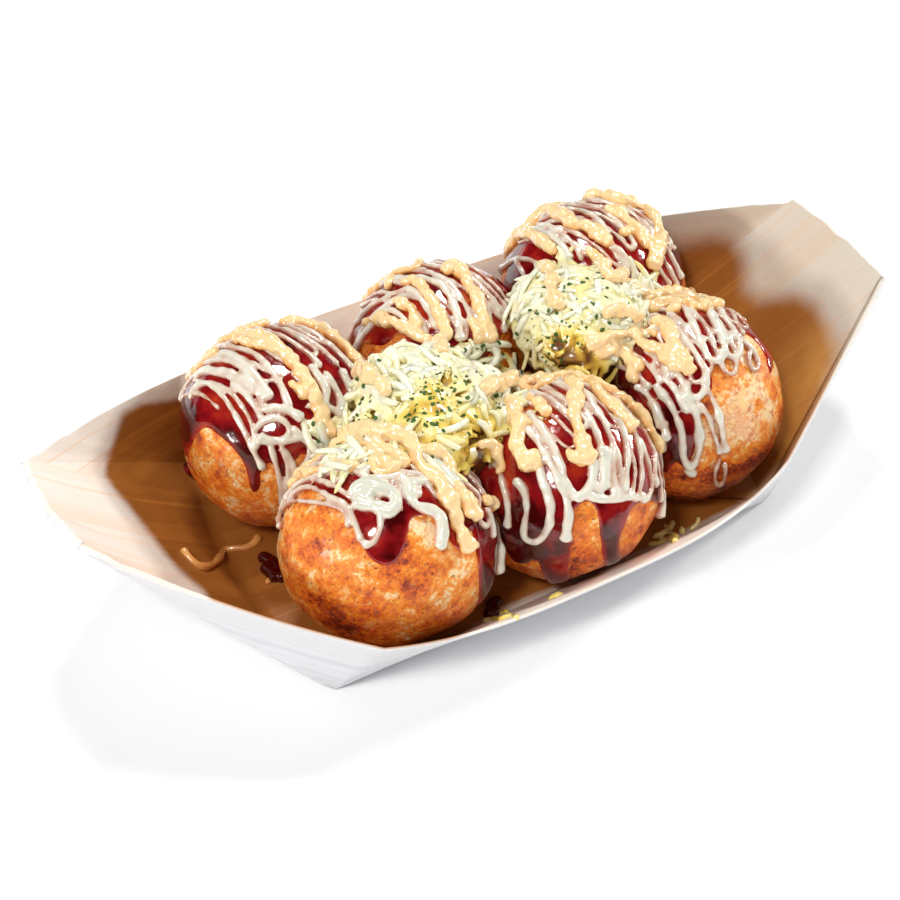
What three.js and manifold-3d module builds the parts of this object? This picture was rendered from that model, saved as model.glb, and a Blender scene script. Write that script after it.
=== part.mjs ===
// Six takoyaki balls with drizzled sauces and shredded cheese, in a folded boat tray of thin wood.
// Millimetres, +Z up. The tray's long side runs along X and its underside lies on z = 0.
// The origin is the middle of the whole thing's footprint.
import * as THREE from "three";
import { mergeVertices } from "three/addons/utils/BufferGeometryUtils.js";
import Module from "manifold-3d";

const wasm = await Module();
wasm.setup();

// ---------------------------------------------------------------- driving dimensions
// Tray: one veneer sheet, folded up along two long creases and lapped double at both ends.
const SHEET = 0.9;              // thickness of the wood
const RIM_HEIGHT = 20;          // rim above the table, halfway along
const RIM_REACH = 51.15;        // rim from the middle line, halfway along
const TIP_HEIGHT = 40;          // both ends rise to this height
const TIP_BOW = 1.4;            // the cut ends bow out between their two tips
const BASE_BOW = 6;             // the base's two ends bow out by this much
const END_SAG = 2.2;            // the rising ends are hollow by this much
const LAP_SHARE = 0.85;         // share of each end, from the front crease, that the front half covers
const WALL_ROWS = 3;            // strips between crease and rim

// The four corners: where the base's outline, the rim and the cut end turn, and by how much the
// rim bulges out between its corner and the tip.
const CORNERS = {
  frontLeft: { base: [-52, -34.35], rim: [-47, -46.9, 23], tip: [-90, -10.85], bulge: 2.1 },
  frontRight: { base: [54, -34.35], rim: [48.6, -44.7, 24], tip: [90.5, -20.85], bulge: 0.2 },
  backRight: { base: [60, 43.5], rim: [57, 48.5, 21.5], tip: [91.87, 12.15], bulge: 1.2 },
  backLeft: { base: [-52, 39], rim: [-50, 45, 22], tip: [-92.1, 15.15], bulge: 1.5 },
};

// Balls: radius, place of the middle, and how the ball is drawn out along X, Y and Z.
const BALLS = [
  { name: "ball_front_left", radius: 21.1, x: -33.1, y: -20.95, stretch: [1, 1, 0.99], seed: 11 },
  { name: "ball_front_middle", radius: 20.6, x: 6.6, y: -23.15, stretch: [1.01, 0.99, 1], seed: 23 },
  { name: "ball_front_right", radius: 20.7, x: 43.7, y: -16.15, stretch: [0.99, 1.01, 1.06], seed: 31 },
  { name: "ball_back_left", radius: 21.2, x: -36.7, y: 20.35, stretch: [1.02, 1, 0.98], seed: 47 },
  { name: "ball_back_middle", radius: 20.2, x: 5.6, y: 25.95, stretch: [1, 1, 0.99], seed: 53 },
  { name: "ball_back_right", radius: 21.7, x: 46.7, y: 26.85, stretch: [1, 0.99, 0.99], seed: 67 },
];
const BALL_SIT = 0.95;          // height of the middle as a share of the radius: the ball has settled
const BALL_DETAIL = 4;          // each edge of the icosahedron is cut into one more than this
const LUMP_HEIGHT = 0.022;      // broad lumps, as a share of the radius
const CRUST_HEIGHT = 0.007;     // dimples of the browned crust, as a share of the radius
const TOUCH_GAP = 0.32;         // air left between pieces that touch
const WALL_GAP = 0.6;           // air left between a ball and the tray's bent walls

// Drizzles: a bead laid back and forth over a ball. "heading" is the way the passes run, in degrees
// from +X; "near" and "far" are how far they reach from the crown, along the skin.
const WHITE_BEAD = 1.15;        // radius of the white sauce's bead
const ORANGE_BEAD = 1.45;       // radius of the orange sauce's bead
const BEAD_LIFT = 0.35;         // the bead's middle stands this share of its radius off the skin
const BEAD_STEP = 5.5;          // length of one straight piece of bead
const BEAD_SIDES = 4;
const BEAD_FULLNESS = 1.15;     // a bead with few sides has its corners this much further out
const DRIZZLES = {
  ball_front_left: [
    { sauce: "white", heading: -74, passes: 4, pitch: 6.4, shift: 7, near: 7, far: 21, seed: 3 },
    { sauce: "orange", heading: -62, passes: 2, pitch: 9, shift: 2, near: 13, far: 17, seed: 5 },
  ],
  ball_front_middle: [
    { sauce: "white", heading: -80, passes: 5, pitch: 6, shift: 1, near: 3, far: 24, seed: 7 },
    { sauce: "orange", heading: -52, passes: 2, pitch: 10, shift: 3, near: 12, far: 10, seed: 9 },
  ],
  ball_front_right: [
    { sauce: "white", heading: -96, passes: 4, pitch: 6.4, shift: -3, near: 9, far: 17, seed: 13 },
    { sauce: "orange", heading: -75, passes: 2, pitch: 9, shift: -6, near: 11, far: 8, seed: 15 },
  ],
  ball_back_left: [
    { sauce: "white", heading: -70, passes: 4, pitch: 7, shift: -2, near: 12, far: 18, seed: 17 },
    { sauce: "orange", heading: -64, passes: 2, pitch: 10, shift: 3, near: 14, far: 15, seed: 19 },
  ],
  ball_back_middle: [
    { sauce: "white", heading: -72, passes: 4, pitch: 7, shift: 0, near: 12, far: 14, seed: 21 },
    { sauce: "orange", heading: -72, passes: 2, pitch: 10, shift: 1, near: 13, far: 13, seed: 25 },
  ],
  ball_back_right: [
    { sauce: "white", heading: -68, passes: 4, pitch: 7, shift: 2, near: 13, far: 17, seed: 27 },
    { sauce: "orange", heading: -68, passes: 2, pitch: 10, shift: -1, near: 15, far: 15, seed: 29 },
  ],
};

// Cheese: a mound in each hollow between four balls, with the shreds that show on it.
const CHEESE_HEAPS = [
  { name: "cheese_left", middle: [-14.5, -5.5, 31.5], half: [15.5, 16, 11.5], shreds: 20, flakes: 8, seed: 71 },
  { name: "cheese_right", middle: [27.6, 4.6, 31.5], half: [12.5, 15, 11], shreds: 18, flakes: 8, seed: 83 },
];
const SHRED_RADIUS = 0.85;      // half the thickness of a shred
const SHRED_LENGTH = [9, 17];   // shortest and longest
const SHRED_CURL = 0.9;         // most that a shred turns along its length, in radians
const FLAKE_SIZE = 1.5;         // a herb flake, across
const HEAP_DETAIL = 3;          // as BALL_DETAIL, for a mound
const CLEARANCE_DETAIL = 3;     // as BALL_DETAIL, for the rounder ball that a mound is cut back by
const CLEARANCE_MARGIN = 0.35;  // added to that ball, because its flats lie inside the true skin

// ---------------------------------------------------------------- helpers
function seededRandom(seed) {
  let state = seed >>> 0;
  return function next() {
    state = (state + 0x6d2b79f5) >>> 0;
    let mixed = Math.imul(state ^ (state >>> 15), 1 | state);
    mixed = (mixed + Math.imul(mixed ^ (mixed >>> 7), 61 | mixed)) ^ mixed;
    return ((mixed ^ (mixed >>> 14)) >>> 0) / 4294967296;
  };
}

function vector(x, y, z) {
  return new THREE.Vector3(x, y, z);
}

function randomDirection(random) {
  const height = 2 * random() - 1;
  const turn = 2 * Math.PI * random();
  const side = Math.sqrt(1 - height * height);
  return vector(side * Math.cos(turn), side * Math.sin(turn), height);
}

// A bumpy field over all directions: a sum of sine waves, each running its own way.
function waveField(random, count, slowest, fastest) {
  const waves = [];
  for (let index = 0; index < count; index += 1) {
    waves.push({
      axis: randomDirection(random),
      rate: slowest + (fastest - slowest) * random(),
      phase: 2 * Math.PI * random(),
    });
  }
  return function height(direction) {
    let sum = 0;
    for (const wave of waves) {
      sum += Math.sin(wave.rate * direction.dot(wave.axis) + wave.phase);
    }
    return sum / Math.sqrt(count);
  };
}

function solidFrom(points, triangles) {
  const kept = triangles.filter(([a, b, c]) => a !== b && b !== c && c !== a);
  return new wasm.Manifold(new wasm.Mesh({
    numProp: 3,
    vertProperties: new Float32Array(points.flatMap((point) => [point.x, point.y, point.z])),
    triVerts: new Uint32Array(kept.flat()),
  }));
}

// Shared vertices of a three.js geometry, as points and triangles.
function sharedMesh(geometry) {
  const bare = geometry.clone();
  bare.deleteAttribute("normal");
  bare.deleteAttribute("uv");
  const merged = mergeVertices(bare, 1e-4);
  const places = merged.getAttribute("position");
  const points = [];
  for (let index = 0; index < places.count; index += 1) {
    points.push(new THREE.Vector3().fromBufferAttribute(places, index));
  }
  const order = Array.from(merged.index.array);
  const triangles = [];
  for (let index = 0; index < order.length; index += 3) {
    triangles.push(order.slice(index, index + 3));
  }
  return { points, triangles };
}

function geometryFrom(solid) {
  const result = solid.getMesh();
  const geometry = new THREE.BufferGeometry();
  geometry.setAttribute("position", new THREE.BufferAttribute(new Float32Array(result.vertProperties), 3));
  geometry.setIndex(new THREE.BufferAttribute(new Uint32Array(result.triVerts), 1));
  geometry.computeVertexNormals();
  return geometry;
}

// The biggest closed body of a solid, so that no scrap is left beside it.
function biggestBody(solid) {
  const bodies = solid.decompose();
  bodies.sort((one, other) => other.volume() - one.volume());
  return bodies[0];
}

// ---------------------------------------------------------------- tray
function baseCorner(name) {
  const [x, y] = CORNERS[name].base;
  return vector(x, y, 0);
}

function tip(name) {
  const [x, y] = CORNERS[name].tip;
  return vector(x, y, TIP_HEIGHT);
}

// The rim above a long side: it draws in and rises from its middle to both corners.
function rimAlongSide(x, side) {
  const corner = vector(...CORNERS[side + (x < 0 ? "Left" : "Right")].rim);
  const middle = vector(0, Math.sign(corner.y) * RIM_REACH, RIM_HEIGHT);
  return middle.lerp(corner, Math.abs(x / corner.x) ** 3).setX(x);
}

// The rim between a corner and its tip, as a quadratic curve that bulges outwards.
function riseCurve(name) {
  const start = vector(...CORNERS[name].rim);
  const end = tip(name);
  const along = end.clone().sub(start).setZ(0).normalize();
  const outward = vector(-along.y, along.x, 0);
  if (outward.y * start.y < 0) {
    outward.negate();
  }
  const bend = start.clone().lerp(end, 0.5).addScaledVector(outward, 2 * CORNERS[name].bulge);
  return new THREE.QuadraticBezierCurve3(start, bend, end);
}

// The cut edge of an end, from its front tip to its back tip.
function endEdge(end) {
  const front = tip("front" + end);
  const back = tip("back" + end);
  const bend = front.clone().lerp(back, 0.5);
  bend.x += Math.sign(bend.x) * 2 * TIP_BOW;
  return new THREE.QuadraticBezierCurve3(front, bend, back);
}

// A rib runs from the base's outline to the rim. "inside" and "outside" count the layers of wood that
// lie to either side of the sheet's outer face there.
function sideRibs(side) {
  const pieces = 12;
  const left = baseCorner(side + "Left");
  const right = baseCorner(side + "Right");
  return Array.from({ length: pieces - 1 }, (_, index) => {
    const share = (index + 1) / pieces;
    const rimX = THREE.MathUtils.lerp(CORNERS[side + "Left"].rim[0], CORNERS[side + "Right"].rim[0], share);
    const base = left.clone().lerp(right, share);
    return { base, rim: rimAlongSide(rimX, side), sag: 0, inside: 1, outside: 0 };
  });
}

// Ribs that fan out from a base corner. The back half's end reaches round both front tips, outside.
function fanRibs(name) {
  const pieces = 6;
  const curve = riseCurve(name);
  const base = baseCorner(name);
  return Array.from({ length: pieces + 1 }, (_, index) => {
    const share = index / pieces;
    const outside = name.startsWith("front") && share > 0.6 ? 1 : 0;
    return { base, rim: curve.getPoint(share), sag: 0, inside: 1, outside };
  });
}

// Ribs of an end panel, front to back. They lean from the base towards the front tip and then
// towards the back tip, so soft creases cross the panel; the inner layer stops along one rib.
function endRibs(end) {
  const pieces = 10;
  const front = baseCorner("front" + end);
  const back = baseCorner("back" + end);
  const edge = endEdge(end);
  const ribs = [];
  for (let index = 0; index <= pieces; index += 1) {
    const share = index < pieces - 1 ? (LAP_SHARE * index) / (pieces - 2) : 1 - (pieces - index) * 0.075;
    const base = front.clone().lerp(back, share);
    base.x += Math.sign(base.x) * BASE_BOW * 4 * share * (1 - share);
    const onEdge = THREE.MathUtils.clamp((share - 0.2) / (LAP_SHARE - 0.2), 0, 1);
    const rib = { base, rim: edge.getPoint(onEdge), sag: END_SAG * Math.sin(Math.PI * share) };
    const lapped = share <= LAP_SHARE;
    ribs.push({ ...rib, inside: lapped ? 2 : 1, outside: 1 });
    if (share === LAP_SHARE) {
      ribs.push({ ...rib, inside: 1, outside: 1 });
    }
  }
  return ribs;
}

function trayRibs() {
  return [
    ...sideRibs("front"),
    ...fanRibs("frontRight"),
    ...endRibs("Right"),
    ...fanRibs("backRight").reverse(),
    ...sideRibs("back").reverse(),
    ...fanRibs("backLeft"),
    ...endRibs("Left").reverse(),
    ...fanRibs("frontLeft").reverse(),
  ];
}

// A thin closed sheet: the same net of points twice, once on each face, joined along the rim.
function traySolid() {
  const ribs = trayRibs();
  const places = new Map();
  const skin = [];
  const ids = ribs.map((rib) => {
    const column = [];
    for (let row = 0; row <= WALL_ROWS; row += 1) {
      const share = row / WALL_ROWS;
      const point = rib.base.clone().lerp(rib.rim, share);
      point.z -= rib.sag * 4 * share * (1 - share);
      const key = point.toArray().map((value) => value.toFixed(3)).join(",");
      if (!places.has(key)) {
        places.set(key, skin.length);
        skin.push(point);
      }
      column.push(places.get(key));
    }
    return column;
  });

  const faces = [];
  for (let index = 0; index < ids.length; index += 1) {
    const here = ids[index];
    const next = ids[(index + 1) % ids.length];
    for (let row = 0; row < WALL_ROWS; row += 1) {
      faces.push([here[row], next[row], next[row + 1]], [here[row], next[row + 1], here[row + 1]]);
    }
  }
  const outline = [...new Set(ids.map((column) => column[0]))];
  const centre = skin.length;
  skin.push(vector(0, 0, 0));
  outline.forEach((id, index) => {
    faces.push([centre, outline[(index + 1) % outline.length], id]);
  });

  // Inward normals, lengthened at a crease so that both sides of it keep the sheet's thickness.
  const lean = skin.map(() => vector(0, 0, 0));
  const touching = skin.map(() => []);
  for (const [a, b, c] of faces) {
    const normal = new THREE.Vector3().crossVectors(
      skin[c].clone().sub(skin[a]), skin[b].clone().sub(skin[a]));
    if (normal.length() < 1e-6) {
      continue;
    }
    normal.normalize();
    for (const id of new Set([a, b, c])) {
      if (!touching[id].some((other) => other.angleTo(normal) < 0.02)) {
        touching[id].push(normal);
        lean[id].add(normal);
      }
    }
  }
  const inward = lean.map((sum, id) => {
    const normal = sum.clone().normalize();
    const spread = Math.max(0.7, Math.min(...touching[id].map((other) => other.dot(normal))));
    return normal.divideScalar(spread);
  });

  const points = [];
  function cornerIds(face) {
    return ids.map((column, index) => column.map((id, row) => {
      const layers = face === "inside" ? (row === 0 ? 1 : ribs[index].inside) : 0;
      const extra = face === "outside" && row > 0 ? ribs[index].outside : 0;
      const point = skin[id].clone().addScaledVector(inward[id], SHEET * (layers - extra));
      const key = point.toArray().map((value) => value.toFixed(3)).join(",");
      if (!cornerIds.known.has(key)) {
        cornerIds.known.set(key, points.length);
        points.push(point);
      }
      return cornerIds.known.get(key);
    }));
  }
  cornerIds.known = new Map();
  const outside = cornerIds("outside");
  const inside = cornerIds("inside");
  const triangles = [];
  for (let index = 0; index < ids.length; index += 1) {
    const after = (index + 1) % ids.length;
    for (let row = 0; row < WALL_ROWS; row += 1) {
      triangles.push([outside[index][row], outside[after][row], outside[after][row + 1]]);
      triangles.push([outside[index][row], outside[after][row + 1], outside[index][row + 1]]);
      triangles.push([inside[index][row], inside[after][row + 1], inside[after][row]]);
      triangles.push([inside[index][row], inside[index][row + 1], inside[after][row + 1]]);
    }
    triangles.push([outside[index][WALL_ROWS], outside[after][WALL_ROWS], inside[after][WALL_ROWS]]);
    triangles.push([outside[index][WALL_ROWS], inside[after][WALL_ROWS], inside[index][WALL_ROWS]]);
  }
  const under = [...new Set(outside.map((column) => column[0]))];
  const over = [...new Set(inside.map((column) => column[0]))];
  const underCentre = points.length;
  points.push(skin[centre], skin[centre].clone().setZ(SHEET));
  under.forEach((id, index) => {
    const after = (index + 1) % under.length;
    triangles.push([underCentre, under[after], id], [underCentre + 1, over[index], over[after]]);
  });
  return solidFrom(points, triangles);
}

// The tray's walls near a ball, as planes that face outwards, each through three points.
function trayWalls(ball) {
  const inside = vector(0, 0, TIP_HEIGHT);
  const threes = [];
  for (const side of ["front", "back"]) {
    for (const ahead of [-12, 0, 12]) {
      threes.push([baseCorner(side + "Left"), baseCorner(side + "Right"), rimAlongSide(ball.x + ahead, side), 1]);
    }
    for (const end of ["Left", "Right"]) {
      const name = side + end;
      threes.push([baseCorner(name), vector(...CORNERS[name].rim), tip(name), 1]);
      threes.push([baseCorner("front" + end), baseCorner("back" + end), tip(name), 2]);
      threes.push([baseCorner(name), tip("front" + end), tip("back" + end), 2]);
    }
  }
  return threes.map(([foot, second, third, layers]) => {
    const normal = new THREE.Vector3().crossVectors(second.clone().sub(foot), third.clone().sub(foot));
    normal.normalize();
    if (inside.clone().sub(foot).dot(normal) > 0) {
      normal.negate();
    }
    return { foot, normal, layers };
  });
}

// ---------------------------------------------------------------- balls
// Flat places on a ball: the tray's floor and walls, and where a neighbour presses on it.
function pressingPlanes(ball) {
  const middle = vector(ball.x, ball.y, BALL_SIT * ball.radius);
  const planes = [{ normal: vector(0, 0, -1), distance: middle.z - SHEET - TOUCH_GAP }];
  for (const wall of trayWalls(ball)) {
    const distance = wall.foot.clone().sub(middle).dot(wall.normal) - wall.layers * SHEET - WALL_GAP;
    planes.push({ normal: wall.normal, distance });
  }
  for (const other of BALLS) {
    const across = vector(other.x, other.y, BALL_SIT * other.radius).sub(middle);
    const apart = across.length();
    if (other !== ball && apart < ball.radius + other.radius + 6) {
      const share = (apart ** 2 + ball.radius ** 2 - other.radius ** 2) / (2 * apart);
      planes.push({ normal: across.normalize(), distance: share - TOUCH_GAP / 2 });
    }
  }
  return { middle, planes };
}

function ballShape(ball) {
  const random = seededRandom(ball.seed);
  const lumps = waveField(random, 7, 2, 4.5);
  const crust = waveField(random, 24, 11, 17);
  const { middle, planes } = pressingPlanes(ball);
  const stretch = vector(...ball.stretch);
  function reach(direction, grow) {
    const bumps = 1 + LUMP_HEIGHT * lumps(direction) + CRUST_HEIGHT * crust(direction);
    let length = ball.radius * bumps * direction.clone().multiply(stretch).length() + grow;
    for (const plane of planes) {
      const facing = direction.dot(plane.normal);
      if (facing > 0.2) {
        length = Math.min(length, (plane.distance + grow) / facing);
      }
    }
    return length;
  }
  return { ball, middle, planes, reach };
}

function ballSolid(shape, detail, grow) {
  const { points, triangles } = sharedMesh(new THREE.IcosahedronGeometry(1, detail));
  const placed = points.map((point) => {
    const direction = point.clone().normalize();
    return direction.multiplyScalar(shape.reach(direction, grow)).add(shape.middle);
  });
  return solidFrom(placed, triangles);
}

// ---------------------------------------------------------------- drizzles
// The bead's track on a flat map of the ball: passes joined by round turns, each with its own reach.
function drizzleTrack(drizzle) {
  const random = seededRandom(drizzle.seed);
  const track = [];
  for (let pass = 0; pass < drizzle.passes; pass += 1) {
    const across = (pass - (drizzle.passes - 1) / 2) * drizzle.pitch + drizzle.shift;
    const ends = [-drizzle.near * (0.8 + 0.4 * random()), drizzle.far * (0.72 + 0.5 * random())];
    if (pass % 2 === 1) {
      ends.reverse();
    }
    const steps = Math.max(2, Math.round(Math.abs(ends[1] - ends[0]) / BEAD_STEP));
    const sway = 0.16 * drizzle.pitch * (random() < 0.5 ? -1 : 1);
    for (let step = 0; step <= steps; step += 1) {
      const share = step / steps;
      track.push([
        THREE.MathUtils.lerp(ends[0], ends[1], share), across + sway * Math.sin(2 * Math.PI * share),
      ]);
    }
  }
  return track;
}

// The beads of one drizzle over a ball: its track is cut where a mound of cheese covers it.
function beadRuns(shape, drizzle) {
  const radius = (drizzle.sauce === "white" ? WHITE_BEAD : ORANGE_BEAD);
  const heading = THREE.MathUtils.degToRad(drizzle.heading);
  const centres = [];
  for (const [along, across] of drizzleTrack(drizzle)) {
    const tilt = Math.hypot(along, across) / shape.ball.radius;
    const turn = heading + Math.atan2(across, along);
    const direction = vector(
      Math.sin(tilt) * Math.cos(turn), Math.sin(tilt) * Math.sin(turn), Math.cos(tilt));
    const length = shape.reach(direction, 0) + BEAD_LIFT * radius;
    const centre = direction.clone().multiplyScalar(length);
    for (const plane of shape.planes) {
      const over = centre.dot(plane.normal) - (plane.distance - BEAD_FULLNESS * radius);
      if (over > 0) {
        centre.addScaledVector(plane.normal, -over);
      }
    }
    centres.push(centre);
  }
  const runs = [[]];
  for (const centre of centres) {
    const run = runs[runs.length - 1];
    const buried = heapShapes.some((heap) => heap.covers(centre.clone().add(shape.middle), 1.5 * radius));
    if (buried && run.length > 0) {
      runs.push([]);
    } else if (!buried && (run.length === 0 || centre.distanceTo(run[run.length - 1]) > 1.5)) {
      run.push(centre);
    }
  }
  return runs.filter((run) => run.length > 1).map((run) => (
    sweptBead(run, BEAD_FULLNESS * radius, BEAD_SIDES).translate(...shape.middle.toArray())));
}

// Sweeps a regular cross-section along points that lie round the origin.
function sweptBead(centres, radius, sides) {
  const points = [];
  const triangles = [];
  const last = centres.length - 1;
  centres.forEach((centre, index) => {
    const before = centres[Math.max(0, index - 1)];
    const after = centres[Math.min(last, index + 1)];
    const along = after.clone().sub(before).normalize();
    const up = centre.clone().addScaledVector(along, -centre.dot(along)).normalize();
    const side = new THREE.Vector3().crossVectors(along, up);
    const size = index === 0 || index === last ? 0.7 * radius : radius;
    for (let corner = 0; corner < sides; corner += 1) {
      const angle = (2 * Math.PI * corner) / sides + Math.PI / 2;
      points.push(centre.clone()
        .addScaledVector(side, size * Math.cos(angle))
        .addScaledVector(up, size * Math.sin(angle)));
    }
  });
  for (let index = 0; index < last; index += 1) {
    for (let corner = 0; corner < sides; corner += 1) {
      const here = index * sides + corner;
      const turned = index * sides + ((corner + 1) % sides);
      triangles.push([here, here + sides, turned + sides], [here, turned + sides, turned]);
    }
  }
  for (let corner = 1; corner < sides - 1; corner += 1) {
    triangles.push([0, corner, corner + 1]);
    triangles.push([last * sides, last * sides + corner + 1, last * sides + corner]);
  }
  return solidFrom(points, triangles);
}

// A ball with its drizzles fused on.
function dressedBall(shape) {
  let solid = ballSolid(shape, BALL_DETAIL, 0);
  for (const drizzle of DRIZZLES[shape.ball.name]) {
    for (const bead of beadRuns(shape, drizzle)) {
      solid = solid.add(bead);
    }
  }
  return solid;
}

// ---------------------------------------------------------------- cheese
function heapShape(heap) {
  const random = seededRandom(heap.seed);
  const bumps = waveField(random, 12, 4, 9);
  const half = vector(...heap.half);
  function reach(direction) {
    const flat = direction.clone().divide(half);
    return (1 + 0.07 * bumps(direction)) / flat.length();
  }
  const middle = vector(...heap.middle);
  function covers(point, margin) {
    const offset = point.clone().sub(middle);
    return offset.length() < reach(offset.clone().normalize()) + SHRED_RADIUS + margin;
  }
  return { heap, random, reach, covers, middle };
}

function heapCore(shape) {
  const { points, triangles } = sharedMesh(new THREE.IcosahedronGeometry(1, HEAP_DETAIL));
  const placed = points.map((point) => {
    const direction = point.clone().normalize();
    return direction.multiplyScalar(shape.reach(direction)).add(shape.middle);
  });
  return solidFrom(placed, triangles);
}

// A curled shred that lies on the mound, its heading and curl drawn at random.
function shredSolid(shape, tilt, turn) {
  const { random } = shape;
  const lengthShare = random();
  const length = THREE.MathUtils.lerp(SHRED_LENGTH[0], SHRED_LENGTH[1], lengthShare);
  const heading = 2 * Math.PI * random();
  const curl = SHRED_CURL * (2 * random() - 1);
  const direction = vector(
    Math.sin(tilt) * Math.cos(turn), Math.sin(tilt) * Math.sin(turn), Math.cos(tilt));
  const east = new THREE.Vector3().crossVectors(vector(0, 0, 1), direction);
  if (east.length() < 0.05) {
    east.set(1, 0, 0);
  }
  east.normalize();
  const north = new THREE.Vector3().crossVectors(direction, east);
  const anchor = direction.clone().multiplyScalar(shape.reach(direction));
  const centres = [];
  const pieces = 2;
  for (let index = 0; index <= pieces; index += 1) {
    const share = index / pieces - 0.5;
    const bearing = heading + curl * share * 2;
    const place = anchor.clone()
      .addScaledVector(east, length * share * Math.cos(bearing))
      .addScaledVector(north, length * share * Math.sin(bearing));
    const outward = place.clone().normalize();
    centres.push(outward.multiplyScalar(shape.reach(outward) + 0.45 * SHRED_RADIUS));
  }
  return sweptBead(centres, BEAD_FULLNESS * SHRED_RADIUS, BEAD_SIDES).translate(...shape.heap.middle);
}

// A herb flake: a small flat lozenge set into the top of the mound.
function flakeSolid(shape, tilt, turn) {
  const direction = vector(
    Math.sin(tilt) * Math.cos(turn), Math.sin(tilt) * Math.sin(turn), Math.cos(tilt));
  const { points, triangles } = sharedMesh(new THREE.OctahedronGeometry(1, 0));
  const size = FLAKE_SIZE * (0.7 + 0.6 * shape.random());
  const spin = new THREE.Quaternion().setFromUnitVectors(vector(0, 0, 1), direction);
  const place = direction.clone().multiplyScalar(shape.reach(direction) + 0.2).add(shape.middle);
  const placed = points.map((point) => point
    .multiply(vector(size, 0.7 * size, 0.8)).applyQuaternion(spin).add(place));
  return solidFrom(placed, triangles);
}

function cheeseSolid(shape, clearances) {
  const { heap } = shape;
  let solid = heapCore(shape);
  const golden = Math.PI * (3 - Math.sqrt(5));
  for (let index = 0; index < heap.shreds; index += 1) {
    const tilt = Math.acos(1 - 0.95 * ((index + 0.5) / heap.shreds));
    solid = solid.add(shredSolid(shape, tilt, index * golden));
  }
  for (let index = 0; index < heap.flakes; index += 1) {
    const tilt = Math.acos(1 - 0.6 * ((index + 0.5) / heap.flakes));
    solid = solid.add(flakeSolid(shape, tilt, 1 + index * golden));
  }
  for (const clearance of clearances) {
    solid = solid.subtract(clearance);
  }
  return biggestBody(solid);
}

// ---------------------------------------------------------------- assembly
const FINISH = {
  wood: { color: 0xe3cba6, roughness: 0.62, metalness: 0 },
  dough: { color: 0xc9803a, roughness: 0.5, metalness: 0 },
  cheese: { color: 0xeee6b4, roughness: 0.45, metalness: 0 },
};

function namedMesh(name, solid, finish) {
  const mesh = new THREE.Mesh(geometryFrom(solid), new THREE.MeshStandardMaterial(FINISH[finish]));
  mesh.name = name;
  return mesh;
}

const takoyaki = new THREE.Group();
takoyaki.add(namedMesh("tray", traySolid(), "wood"));

const heapShapes = CHEESE_HEAPS.map(heapShape);
const ballShapes = BALLS.map(ballShape);
for (const shape of ballShapes) {
  takoyaki.add(namedMesh(shape.ball.name, biggestBody(dressedBall(shape)), "dough"));
}

const clearances = ballShapes.map((shape) => (
  ballSolid(shape, CLEARANCE_DETAIL, TOUCH_GAP + CLEARANCE_MARGIN)));
for (const shape of heapShapes) {
  takoyaki.add(namedMesh(shape.heap.name, cheeseSolid(shape, clearances), "cheese"));
}

export default takoyaki;
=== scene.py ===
# %% [markdown]
# # Six takoyaki in a boat tray
# Takoyaki are balls of batter, browned in a hot moulded iron. They are served in a tray folded from one
# sheet of thin wood, brushed with dark sauce, striped with two kinds of mayonnaise and heaped with
# shredded cheese and green laver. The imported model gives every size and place. This script puts the real
# surfaces on it, piece by piece, and works in millimetres until a mesh is made.

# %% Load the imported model
import math

import bmesh
import bpy
import numpy as np
from mathutils import Matrix, Vector
from mathutils.bvhtree import BVHTree


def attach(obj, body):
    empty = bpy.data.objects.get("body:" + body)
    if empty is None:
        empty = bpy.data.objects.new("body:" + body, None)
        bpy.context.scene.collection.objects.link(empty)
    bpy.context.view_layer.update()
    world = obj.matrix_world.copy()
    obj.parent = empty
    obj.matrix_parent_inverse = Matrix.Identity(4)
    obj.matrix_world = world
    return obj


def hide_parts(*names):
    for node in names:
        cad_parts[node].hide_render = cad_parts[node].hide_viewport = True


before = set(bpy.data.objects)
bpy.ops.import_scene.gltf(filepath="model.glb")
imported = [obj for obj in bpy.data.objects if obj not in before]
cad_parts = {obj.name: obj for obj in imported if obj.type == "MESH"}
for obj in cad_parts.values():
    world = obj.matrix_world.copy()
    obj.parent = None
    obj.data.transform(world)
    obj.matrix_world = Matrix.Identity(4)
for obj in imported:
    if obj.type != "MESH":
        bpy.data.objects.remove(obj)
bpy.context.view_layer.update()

MM = 0.001
print("solids:", sorted(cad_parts))

# %% [markdown]
# ## Seeded chance and bumpy fields
# Nothing on food is even, but the script has to give the same food each time. One small generator with a
# seed serves every draw. A sum of sine waves that each run their own way makes a smooth bumpy field, which
# is cheap for thousands of points at once. The solids use the same draws, so lumps fall in the same places.

# %% Draws and wave fields
WORD = 0xFFFFFFFF
STRIDE = 0x6D2B79F5


def seeded_random(seed):
    """A function that gives the next number from 0 to 1 each time, from a chain that the seed starts."""
    state = seed & WORD

    def draw():
        nonlocal state
        state = (state + STRIDE) & WORD
        mixed = ((state ^ (state >> 15)) * (1 | state)) & WORD
        mixed ^= (mixed + (mixed ^ (mixed >> 7)) * (61 | mixed)) & WORD
        return (mixed ^ (mixed >> 14)) / (WORD + 1)

    return draw


def wave_field(draw, count, slowest, fastest):
    """A bumpy field: sine waves that run in drawn directions, at drawn rates between two limits."""
    axes, phases = [], []
    for _ in range(count):
        height = 2 * draw() - 1
        turn = 2 * math.pi * draw()
        side = math.sqrt(1 - height * height)
        rate = slowest + (fastest - slowest) * draw()
        axes.append([rate * side * math.cos(turn), rate * side * math.sin(turn), rate * height])
        phases.append(2 * math.pi * draw())
    axes, phases = np.array(axes).T, np.array(phases)
    return lambda points: np.sin(points @ axes + phases).sum(axis=-1) / math.sqrt(count)


def smooth_step(low, high, values):
    share = np.clip((values - low) / (high - low), 0, 1)
    return share * share * (3 - 2 * share)


def lengths_of(vectors):
    return np.sqrt((vectors * vectors).sum(axis=-1))


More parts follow.
